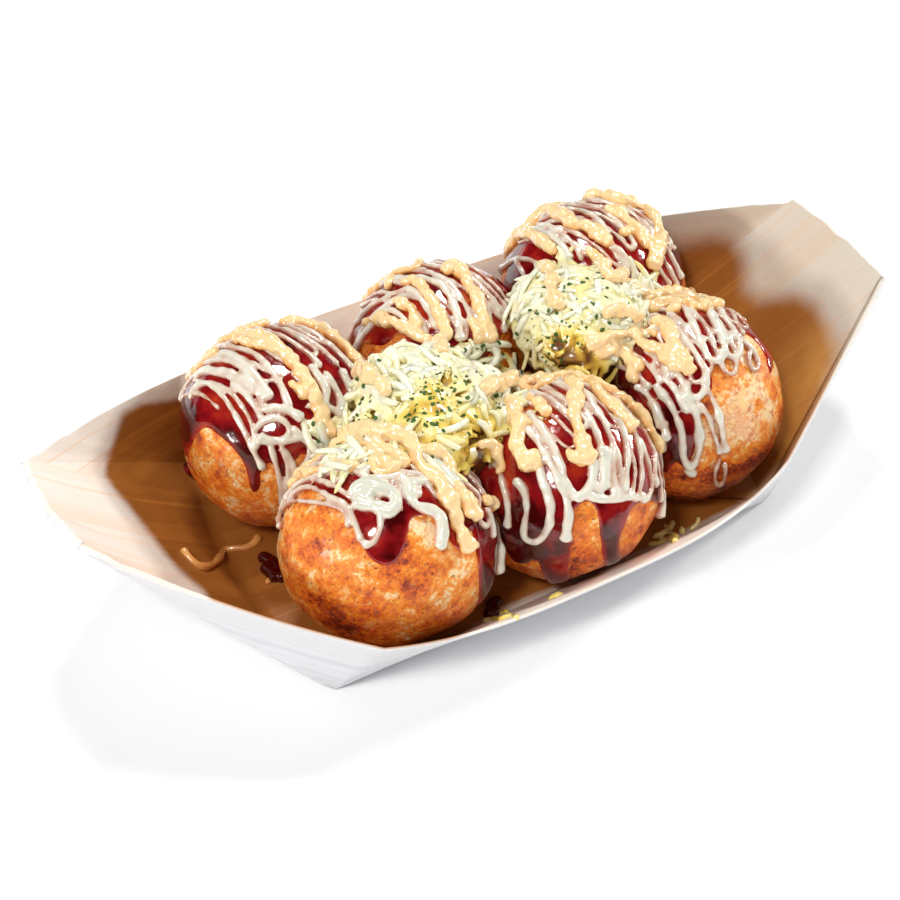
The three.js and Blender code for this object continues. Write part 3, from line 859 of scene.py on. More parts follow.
# The floor: rings that shrink from the base's outline to the middle, once below and once above.
for start, level, outwards in ((0, 0.0, False), (shift, VENEER, True)):
    ring = [start + index * columns for index in range(count)]
    outline = np.array([points[number] for number in ring])
    for step in range(1, FLOOR_ROWS + 1):
        size = 1 - step / FLOOR_ROWS
        if step < FLOOR_ROWS:
            fresh = list(range(len(points), len(points) + count))
            points.extend(np.column_stack([outline[:, :2] * size, np.full(count, level)]))
        else:
            fresh = [len(points)] * count
            points.append(np.array([0, 0, level]))
        for index in range(count):
            after = (index + 1) % count
            face = [ring[index], ring[after], fresh[after], fresh[index]]
            face = face if outwards else face[::-1]
            faces.append(tuple(dict.fromkeys(face)))
            fields.append("floor")
        ring = fresh
points = np.array(points)
print(len(points), "points,", len(faces), "faces")

# %% Where the oil has soaked in and the balls' shade is painted
# The loop follows the edges of the balls' shadows on the wood, so within it the oil is also painted shade.
SOAKED_AND_SHADED_LOOP = [
    (190, 392), (172, 398), (140, 403), (125, 412), (116, 437), (107, 458), (104, 476), (114, 490),
    (134, 513), (155, 539), (180, 568), (205, 590), (228, 640), (330, 730), (430, 655), (500, 611),
    (600, 572), (690, 529), (755, 497), (792, 458), (810, 425), (825, 392), (837, 356), (831, 329),
    (816, 305), (795, 293), (759, 299), (747, 290), (744, 260), (732, 239), (714, 236), (660, 246),
    (560, 290), (420, 335), (300, 365), (215, 385),
]
SOAK_AND_SHADE_LIMIT = 12.0


def soak_and_shade_depth(spots):
    """How far inside the field of oil and painted shade each spot lies, in millimetres of the view; outside
    is negative.
    """
    dots = dots_of(spots)
    loop = np.array(SOAKED_AND_SHADED_LOOP, float)
    nearest = np.full(len(dots), FAR_OFF)
    for start, end in zip(loop, np.roll(loop, -1, axis=0)):
        side = end - start
        share = np.clip((dots - start) @ side / (side @ side), 0, 1)
        nearest = np.minimum(nearest, lengths_of(dots - start - share[:, None] * side))
    depth = nearest / DOTS_PER_MM_ON_TRAY * np.where(inside_loop(dots, loop), 1, -1)
    return np.clip(depth, -SOAK_AND_SHADE_LIMIT, SOAK_AND_SHADE_LIMIT)


on_outside = np.zeros(len(points))
on_outside[:shift] = 1
floor_points = count * (FLOOR_ROWS - 1) + 1
on_outside[2 * shift:2 * shift + floor_points] = 1
print("points on the outside:", int(on_outside.sum()))

# %% The sheet as a mesh, welded where ribs meet, with sharp edges only along the cuts
WELD = 0.02
SHARP_ANGLE = math.radians(62)
tray = new_object("tray_sheet", [], [], [], wood)
sheet = bmesh.new()
grain_layer = sheet.loops.layers.uv.new("grain")
soak_and_shade_layer = sheet.verts.layers.float.new("soak")
outer_layer = sheet.verts.layers.float.new("outer")
for point, depth, outside in zip(points, soak_and_shade_depth(points), on_outside):
    vertex = sheet.verts.new((point * MM).tolist())
    vertex[soak_and_shade_layer] = depth
    vertex[outer_layer] = outside
sheet.verts.ensure_lookup_table()
for face, field in zip(faces, fields):
    made = sheet.faces.new([sheet.verts[number] for number in face])
    made.smooth = True
    for loop, uv in zip(made.loops, grain_coordinates(points[list(face)], field)):
        loop[grain_layer].uv = uv.tolist()
bmesh.ops.remove_doubles(sheet, verts=sheet.verts[:], dist=WELD * MM)
sheet.to_mesh(tray.data)
sheet.free()
tray.data.set_sharp_from_angle(angle=SHARP_ANGLE)
hand_over(tray, "wood", "tray")

# %% [markdown]
# ## Dough finish
# The batter browns where it touches the iron. Its colour runs from pale cream through gold to red brown and
# nearly black. The mesh carries how toasted each place is, and fine noise breaks that up into the pale
# grains and dark pores of a crisp skin that shines with oil.

# %% Dough
dough, g, place = new_finish("dough")
toast = g.attribute("toast")
grains = g.noise(place, 1300, 3.0, 0.7)
pores = g.noise(place, 560, 4.0, 0.7)
patches = g.noise(place, 190, 3.0, 0.6)
fields = g.noise(place, 70, 2.0, 0.5)
mottle = toast + (grains - 0.5) * 1.0 + (pores - 0.5) * 1.1 + (patches - 0.5) * 1.8
colour = g.ramp(mottle, [
    (0.00, (0.98, 0.70, 0.38)), (0.08, (0.97, 0.52, 0.17)), (0.18, (0.94, 0.34, 0.036)),
    (0.40, (0.85, 0.205, 0.012)), (0.60, (0.66, 0.115, 0.012)), (0.80, (0.30, 0.032, 0.008)),
    (1.00, (0.07, 0.008, 0.004))])
rosy = g.step(fields + (grains - 0.5) * 0.9, 0.53, 0.64)
colour = g.blend(rosy * (0.5 - toast * 0.5), colour, (0.80, 0.27, 0.11))
blisters = g.step(g.noise(place, 300, 3.0, 0.65) + (grains - 0.5) * 0.3 - toast * 0.12, 0.56, 0.64)
colour = g.blend(blisters * (0.75 - toast), colour, (0.99, 0.62, 0.25))
freckles = g.step(g.noise(place, 250, 3.0, 0.65) + (grains - 0.5) * 0.4, 0.52, 0.63)
colour = g.blend(freckles * (0.62 - toast * 1.9), colour, (0.66, 0.15, 0.055))
scorched = g.step(g.noise(place, 410, 3.0, 0.7) + toast * 0.12, 0.62, 0.70)
colour = g.blend(scorched * 0.65, colour, (0.50, 0.095, 0.022))
specks = g.step(g.noise(place, 800, 1.0, 0.5) + toast * 0.1, 0.72, 0.80)
colour = g.blend(specks * 0.75, colour, (0.22, 0.035, 0.012))
relief = g.bump(grains * 0.6 + pores, 0.0006, 0.9)
set_shader(
    dough, g, Base_Color=colour, Roughness=g.step(pores, 0.3, 0.7, 0.30, 0.55), Normal=relief,
    Coat_Weight=0.3, Coat_Roughness=0.22, Specular_IOR_Level=0.4, Subsurface_Weight=0.08,
    Subsurface_Scale=0.002, Subsurface_Radius=(1.0, 0.35, 0.1))

# %% [markdown]
# ## Dough balls
# The fine net is moved out to the skin. How toasted a ball is grows towards its underside, with a few darker
# blotches. The front right ball is paler, and has a dark band low on its right side.

# %% Balls of dough
TOAST = {
    # how toasted all over, how much more low down, then blotches: a dot of the view, size, strength
    "front_left": (0.25, 0.03, [
        (335, 618, 20, 0.34), (405, 575, 26, 0.16), (322, 533, 20, 0.14), (300, 600, 20, 0.16),
        (440, 640, 60, 0.10), (350, 640, 40, 0.12)]),
    "front_middle": (0.40, 0.10, [(535, 560, 30, 0.12), (600, 560, 30, 0.10)]),
    "front_right": (0.10, 0.30, [
        (777, 395, 20, 0.20), (776, 430, 20, 0.24), (766, 352, 14, 0.15), (645, 486, 20, 0.20),
        (670, 497, 22, 0.24), (700, 496, 22, 0.22), (728, 487, 20, 0.22), (766, 452, 17, 0.32),
        (750, 464, 18, 0.38), (728, 471, 18, 0.34), (704, 474, 18, 0.32), (680, 472, 16, 0.28),
        (658, 462, 14, 0.26), (706, 406, 10, 0.40), (720, 376, 16, 0.14), (758, 405, 7, 0.26),
        (732, 427, 20, -0.13), (750, 390, 13, -0.07), (738, 404, 14, -0.08)]),
    "back_left": (0.25, 0.06, [(205, 500, 30, 0.16), (200, 437, 6, 0.3), (215, 437, 5, 0.2)]),
    "back_middle": (0.36, 0.20, []),
    "back_right": (0.38, 0.20, []),
}
LOW_DOWN = (-0.75, 0.15)
UNEVEN_TOAST = 0.055
BLOTCH_TOAST = 1.5
for name, ball in BALLS.items():
    reach = ball["reach"](DIRECTIONS)
    spots = ball["middle"] + DIRECTIONS * reach[:, None]
    everywhere, low_down, blotches = TOAST[name]
    toasted = everywhere + low_down * (1 - smooth_step(*LOW_DOWN, DIRECTIONS[:, 2]))
    blur = wave_field(seeded_random(ball["seed"] + 900), 24, 3, 8)
    toasted += UNEVEN_TOAST * blur(DIRECTIONS)
    for x, y, size, strength in blotches:
        apart = lengths_of(spots - nearest_food([(x, y)], [ball])[0]) / (size / DOTS_PER_MM)
        toasted += BLOTCH_TOAST * strength * np.exp(-(apart ** 2) * (1 + 0.25 * blur(DIRECTIONS * 2.3)))
    piece = new_object(f"dough_{name}", spots, [], ROUND_FACES, dough, toast=toasted)
    hand_over(piece, "dough", f"ball_{name}")

# %% [markdown]
# ## Brown sauce
# The sauce is a cap that starts at the crown and ends in tongues that ran down and stopped. Its edge is a
# closed loop in a plane round the crown, where a place is as far from the middle as it tilts from straight
# up. Dots of the view give the near side of the loop, and a turn and a tilt for each point give the far
# side. The film swells behind its edge, as a drop does, and dives under the skin outside it, which leaves
# a clean wetted line.

# %% Sauce finish
sauce, g, place = new_finish("sauce")
film = g.attribute("film")
cloud = g.noise(place, 130, 3.0, 0.6)
colour = g.ramp(film + (cloud - 0.5) * 2.2 + 0.05, [
    (0.00, (0.60, 0.150, 0.025)), (0.25, (0.40, 0.026, 0.010)), (0.60, (0.24, 0.0055, 0.0075)),
    (1.00, (0.055, 0.0015, 0.0018))])
relief = g.bump(g.noise(place, 230, 2.0, 0.5), 0.0006, 0.35)
set_shader(
    sauce, g, Base_Color=colour, Roughness=0.12, Normal=relief, Coat_Weight=0.5, Coat_Roughness=0.03,
    Specular_IOR_Level=0.4)

# %% Edge of the sauce on each ball
SAUCE_EDGE = {
    # dots of the view along the near edge, then (turn, tilt) in degrees along the far edge
    "front_left": (
        [(289, 508), (300, 492), (318, 490), (334, 499), (347, 506), (354, 520), (360, 538), (367, 554),
         (377, 563), (387, 565), (397, 560), (404, 547), (408, 532), (411, 519), (424, 515), (436, 519),
         (446, 533), (453, 546), (461, 551), (466, 543), (471, 531), (475, 548), (478, 570), (479, 592),
         (477, 608), (480, 620), (487, 614), (491, 592), (494, 566), (496, 545)],
        [(-25, 108), (0, 96), (20, 78), (38, 92), (60, 70), (90, 84), (112, 62), (135, 70), (160, 58)]),
    "front_middle": (
        [(500, 520), (505, 545), (514, 560), (526, 563), (537, 560), (543, 573), (549, 584), (558, 588),
         (566, 580), (570, 560), (571, 535), (574, 512), (582, 503), (592, 503), (598, 515), (601, 540),
         (604, 562), (609, 574), (615, 567), (619, 545), (626, 522), (633, 507), (645, 500), (660, 498)],
        [(10, 72), (32, 86), (58, 66), (85, 80), (110, 64), (138, 78), (165, 66)]),
    "front_right": (
        [(610, 375), (628, 430), (648, 458), (660, 468), (668, 472), (676, 462), (684, 466), (693, 454),
         (697, 430), (696, 408), (702, 396), (712, 388), (711, 368), (716, 352), (727, 338), (740, 334),
         (752, 338), (763, 352), (771, 372)],
        [(12, 84), (35, 70), (60, 86), (88, 66), (112, 82), (140, 70), (170, 78)]),
    "back_left": (
        [(189, 462), (193, 443), (199, 432), (208, 428), (220, 436), (233, 448), (243, 462), (248, 476),
         (250, 487), (255, 492), (260, 486), (261, 472), (269, 463), (277, 470), (281, 485), (288, 470),
         (300, 455), (320, 440)],
        [(0, 70), (22, 84), (45, 66), (70, 82), (95, 68), (120, 84), (145, 72), (168, 84), (188, 92)]),
    "back_middle": (
        [(364, 345), (384, 345), (400, 335), (415, 350), (440, 372), (470, 375), (495, 345)],
        [(0, 75), (22, 62), (45, 80), (70, 64), (95, 78), (120, 62), (145, 78), (170, 68)]),
    "back_right": (
        [(500, 300), (515, 300), (528, 312), (540, 330), (570, 345), (620, 345), (655, 330), (672, 312),
         (681, 285)],
        [(5, 74), (28, 88), (52, 68), (78, 84), (104, 66), (130, 80), (158, 70)]),
}
print("dots on the near edges:", sum(len(seen) for seen, _ in SAUCE_EDGE.values()))

# %% From dots to a smooth edge, and distances inside it
EDGE_SAMPLES = 900
ROWS_AT_ONCE = 8192


def smooth_line(dots, count):
    """A smooth curve through dots: Catmull-Rom, evenly sampled."""
    dots = np.asarray(dots, float)
    padded = np.vstack([2 * dots[0] - dots[1], dots, 2 * dots[-1] - dots[-2]])
    spots = []
    spans = len(dots) - 1
    for value in np.linspace(0, spans, count):
        index = min(int(value), spans - 1)
        t = value - index
        a, b, c, d = padded[index:index + 4]
        spots.append(0.5 * (2 * b + (c - a) * t + (2 * a - 5 * b + 4 * c - d) * t ** 2
                            + (3 * b - a - 3 * c + d) * t ** 3))
    return np.array(spots)


def from_crown(directions):
    """The plane round the crown: how far a direction tilts from straight up, towards its own side."""
    level = unit(directions[:, :2])
    return level * np.degrees(np.arccos(np.clip(directions[:, 2], -1, 1)))[:, None]


def onto_ball(spots):
    """Directions for places in the plane round the crown."""
    tilts = np.radians(lengths_of(spots))
    return np.column_stack([unit(spots) * np.sin(tilts)[:, None], np.cos(tilts)])


def edge_of_sauce(ball, seen, unseen):
    """A smooth closed loop in the plane round the crown."""
    near = from_crown(unit(nearest_food(seen, [ball]) - ball["middle"]))
    turns, tilts = np.array(unseen, float).T
    turns = np.radians(turns)
    far = np.stack([tilts * np.cos(turns), tilts * np.sin(turns)], axis=1)
    return smooth_line(np.vstack([near, far, near[:1]]), EDGE_SAMPLES)[:-1]


def distance_inside(ball, loop):
    """How far inside the edge each direction of the round net lies, in millimetres; outside is negative."""
    edge = onto_ball(loop)
    nearest = np.zeros(len(DIRECTIONS))
    for start in range(0, len(DIRECTIONS), ROWS_AT_ONCE):
        rows = slice(start, start + ROWS_AT_ONCE)
        nearest[rows] = np.arccos(np.clip((DIRECTIONS[rows] @ edge.T).max(axis=1), -1, 1))
    inside = inside_loop(from_crown(DIRECTIONS), loop)
    return np.where(inside, 1, -1) * nearest * ball["radius"]


print("edge drawn with", EDGE_SAMPLES, "points")

# %% Caps of sauce
SAUCE_SPREAD = 1.7
SAUCE_FILM = 0.5
SAUCE_UNEVENNESS = 0.12
SAUCE_ROOT = 0.7


def closed_shell(outside, inside, chosen):
    """The chosen faces of the round net as a closed shell between two sets of points."""
    used = np.unique(chosen)
    number = np.full(len(DIRECTIONS), -1)
    number[used] = np.arange(len(used))
    top = number[chosen]
    edges = np.concatenate([top[:, [0, 1]], top[:, [1, 2]], top[:, [2, 0]]])
    known = {tuple(edge) for edge in edges.tolist()}
    rim = [edge for edge in known if (edge[1], edge[0]) not in known]
    below = len(used)
    faces = [*top.tolist(), *(top[:, ::-1] + below).tolist()]
    faces += [(b, a, a + below, b + below) for a, b in rim]
    return np.concatenate([outside[used], inside[used]]), faces, used


for name, ball in BALLS.items():
    inside = distance_inside(ball, edge_of_sauce(ball, *SAUCE_EDGE[name]))
    # The film is thicker down on the sides, where it gathers, and swells up behind its edge.
    gathered = SAUCE_FILM * (0.8 + 0.6 * smooth_step(35, 80, lengths_of(from_crown(DIRECTIONS))))
    share = np.clip(inside / SAUCE_SPREAD, 0, 1)
    film = np.where(inside > 0, gathered * np.sqrt(share * (2 - share)), np.maximum(1.3 * inside, -0.45))
    uneven = wave_field(seeded_random(ball["seed"] + 77), 12, 3, 7)
    film = film + SAUCE_UNEVENNESS * uneven(DIRECTIONS) * share
    above = ball["reach"](DIRECTIONS, grow=film, press=0.05, wrinkled=0.35)
    under = ball["reach"](DIRECTIONS) - SAUCE_ROOT
    shell, faces, used = closed_shell(
        ball["middle"] + DIRECTIONS * above[:, None], ball["middle"] + DIRECTIONS * under[:, None],
        ROUND_FACES[(film[ROUND_FACES] > -0.3).any(axis=1)])
    thickness = np.tile(np.clip(film[used], 0, 2) * 1.3, 2)
    piece = new_object(f"sauce_{name}", shell, [], faces, sauce, film=thickness)
    hand_over(piece, "sauce", f"ball_{name}")

# %% [markdown]
# ## A bead along its path
# Mayonnaise leaves the bottle as a bead. Its path is a chain of edges, each point knows how thick the bead
# is there, and a small Geometry Nodes tree sweeps a round section along it. Beads that touch then run into
# each other, which a voxel remesh and a little smoothing imitate.

# %% Tree: bead along its path
def new_tree(name, sizes):
    """A Geometry Nodes tree with named inputs, and the graph that fills it."""
    tree = bpy.data.node_groups.new(name, "GeometryNodeTree")
    tree.interface.new_socket("Geometry", in_out="INPUT", socket_type="NodeSocketGeometry")
    for key, kind in sizes.items():
        tree.interface.new_socket(key, in_out="INPUT", socket_type=f"NodeSocket{kind}")
    tree.interface.new_socket("Geometry", in_out="OUTPUT", socket_type="NodeSocketGeometry")
    graph = Graph(tree)
    entry = graph.node("NodeGroupInput")
    return graph, {socket.name: Wire(graph, socket) for socket in entry.outputs if socket.name}


def close_tree(graph, geometry, finish):
    """Ends a tree as the export needs it: real geometry that carries its material."""
    real = graph.wire("GeometryNodeRealizeInstances", None, {"Geometry": geometry})
    painted = graph.wire("GeometryNodeSetMaterial", None, {"Geometry": real, "Material": finish})
    graph.node("NodeGroupOutput", None, {"Geometry": painted})
    return graph.tree


def grow(base, tree, values):
    """Adds the tree to an object as a modifier, with its inputs set by identifier."""
    modifier = base.modifiers.new(tree.name, "NODES")
    modifier.node_group = tree
    for item in tree.interface.items_tree:
        if item.in_out == "INPUT" and item.name in values:
            modifier[item.identifier] = values[item.name]
    return base


g, into = new_tree("bead along its path", {"Sides": "Int", "Finish": "Material"})
path = g.wire("GeometryNodeMeshToCurve", None, {"Mesh": into["Geometry"]})
section = g.wire("GeometryNodeCurvePrimitiveCircle", None, {"Resolution": into["Sides"], "Radius": 1.0})
swept = g.wire("GeometryNodeCurveToMesh", None, {
    "Curve": path, "Profile Curve": section, "Scale": g.carried("thickness"), "Fill Caps": True})
BEAD_TREE = close_tree(g, swept, into["Finish"])
print("tree:", BEAD_TREE.name, "with", len(BEAD_TREE.nodes), "nodes")

# %% Even steps along a line
PATH_STEP = 0.7


def even_steps(points):
    """The same line with its points one step apart."""
    gaps = lengths_of(np.diff(points, axis=0))
    travelled = np.concatenate([[0], np.cumsum(gaps)])
    count = max(3, int(travelled[-1] / PATH_STEP) + 1)
    wanted = np.linspace(0, travelled[-1], count)
    return np.stack([np.interp(wanted, travelled, points[:, axis]) for axis in range(3)], axis=1)


def softened(points, rounds):
    """The line with each point between its ends drawn towards its neighbours, in place."""
    for _ in range(rounds):
        points[1:-1] = 0.25 * points[:-2] + 0.5 * points[1:-1] + 0.25 * points[2:]
    return points


print("points of a path are", PATH_STEP, "mm apart")


# %% Paths of drizzled lines
def over_the_crown(points, ball, length, sway):
    """Carries a line on from its first point, over the ball's crown and down its far side."""
    if length <= 0:
        return points
    out = unit(points[0] - ball["middle"])
    heading = points[0] - points[min(4, len(points) - 1)]
    heading = unit(heading - out * (heading @ out))
    side = np.cross(out, heading)
    added = []
    for distance in np.arange(PATH_STEP, length, PATH_STEP):
        angle = distance / ball["radius"]
        direction = unit(
            out * math.cos(angle) + heading * math.sin(angle) + side * sway * math.sin(angle * 2.2))
        added.append(ball["middle"] + direction * float(ball["reach"](direction[None])[0]))
    return np.vstack([np.array(added[::-1]), points])


def zigzag_path(ball, heading, passes, pitch, shift, near, far, lift, draw):
    """A line that runs back and forth over the crown, sizes in millimetres along the skin."""
    heading = math.radians(heading)
    ahead = np.array([math.cos(heading), math.sin(heading)])
    aside = np.array([-ahead[1], ahead[0]])
    dots = []
    for index in range(passes):
        offset = shift + (index - (passes - 1) / 2) * pitch
        ends = [near * (0.7 + 0.6 * draw()), -far * (0.7 + 0.6 * draw())]
        ends = ends[::-1] if index % 2 else ends
        for share in (0, 0.12, 0.5, 0.88, 1):
            along = ends[0] + (ends[1] - ends[0]) * share
            dots.append(ahead * along + aside * (offset + pitch * 0.7 * (draw() - 0.5)))
    dots = smooth_line(dots, 10 * len(dots))
    out = onto_ball(np.degrees(dots / ball["radius"]))
    points = ball["middle"] + out * ball["reach"](out)[:, None]
    return clear_of_food(softened(even_steps(points), 2), lift)


def drizzled_path(dots, lift, ball=None, over=0.0, sway=0.0):
    """A line drawn in the view, laid on the food under it."""
    points = nearest_food(smooth_line(dots, 12 * len(dots)), FOODS if ball is None else [ball])
    if ball is not None:
        points = over_the_crown(points, ball, over, sway)
    return clear_of_food(softened(even_steps(points), 3), lift)


print("path helpers ready")

# %% Beads made from paths, melted together and roughened
THINNEST_BEAD = 0.12


def bead_sizes(points, radius, draw, unevenness, drip):
    """Radius along a bead: slow swelling, a fatter lower end, and round ends."""
    count = len(points)
    share = np.linspace(0, 1, count)
    waves = wave_field(draw, 5, 4, 16)
    swell = 1 + unevenness * waves(np.column_stack([share * count * PATH_STEP / 12, share * 0, share * 0]))
    swell *= 1 + drip * np.exp(-((1 - share) * count * PATH_STEP / 2.2) ** 2)
    ends = np.minimum(np.arange(count), np.arange(count)[::-1]) * PATH_STEP / radius
    return np.maximum(radius * swell * np.sqrt(1 - np.clip(1 - ends, 0, 0.96) ** 2), THINNEST_BEAD)


def chain_object(name, runs):
    """Many paths as one mesh of edges, with the thickness at each point in metres."""
    points, edges, sizes = [], [], []
    for path, radii in runs:
        start = len(points)
        points += list(path)
        sizes += list(radii)
        edges += [(start + index, start + index + 1) for index in range(len(path) - 1)]
    return new_object(name, points, edges, [], None, thickness=np.array(sizes) * MM)


def melt(base, voxel, rounds):
    """Lets what touches run into each other: a voxel remesh, and some rounds of smoothing."""
    remesh = base.modifiers.new("melt", "REMESH")
    remesh.mode = "VOXEL"
    remesh.voxel_size = voxel * MM
    slump = base.modifiers.new("slump", "SMOOTH")
    slump.factor = 0.5
    slump.iterations = rounds


def melted_beads(name, runs, finish, voxel, rounds):
    """The beads of many paths as one piece; the voxel is in millimetres."""
    base = grow(chain_object(name + "_paths", runs), BEAD_TREE, {"Sides": 10, "Finish": finish})
    melt(base, voxel, rounds)
    return settle(base, name, finish)


def roughen(piece, seed, *sizes):
    """Moves points along their normals by fields of bumps: (height, slowest, fastest), sizes in mm."""
    draw = seeded_random(seed)
    places, out = points_of(piece), normals_of(piece)
    moved = np.zeros(len(places))
    for height, slowest, fastest in sizes:
        moved += height * wave_field(draw, 30, slowest, fastest)(places)
    move_points(piece, places + out * moved[:, None])


print("bead helpers ready")

# %% [markdown]
# ## White mayonnaise
# The white lines ran back and forth across each ball. They are thin and lie so close that they join into a
# web with small windows, and where they turned at the bottom they left loops and drips. Thin places let the
# brown sauce show through, so the finish reads how high the bead stands above the skin.

# %% White mayonnaise finish
white_mayo, g, place = new_finish("white_mayonnaise")
height = g.attribute("height")
veil = g.noise(place, 260, 2.0, 0.5)
body = g.step(height + (veil - 0.5) * 0.9, 0.48, 2.15)
colour = g.ramp(body, [
    (0.00, (0.50, 0.20, 0.13)), (0.24, (0.66, 0.50, 0.39)), (0.52, (0.76, 0.70, 0.59)),
    (0.75, (0.76, 0.74, 0.63)), (1.00, (0.68, 0.68, 0.56))])
relief = g.bump(g.noise(place, 420, 2.0, 0.5), 0.00025, 0.4)
set_shader(
    white_mayo, g, Base_Color=colour, Roughness=0.24, Normal=relief, Coat_Weight=1.0,
    Coat_Roughness=0.15, Specular_IOR_Level=0.9, Subsurface_Weight=0.3, Subsurface_Scale=0.0005,
    Subsurface_Radius=(1.0, 0.75, 0.5))

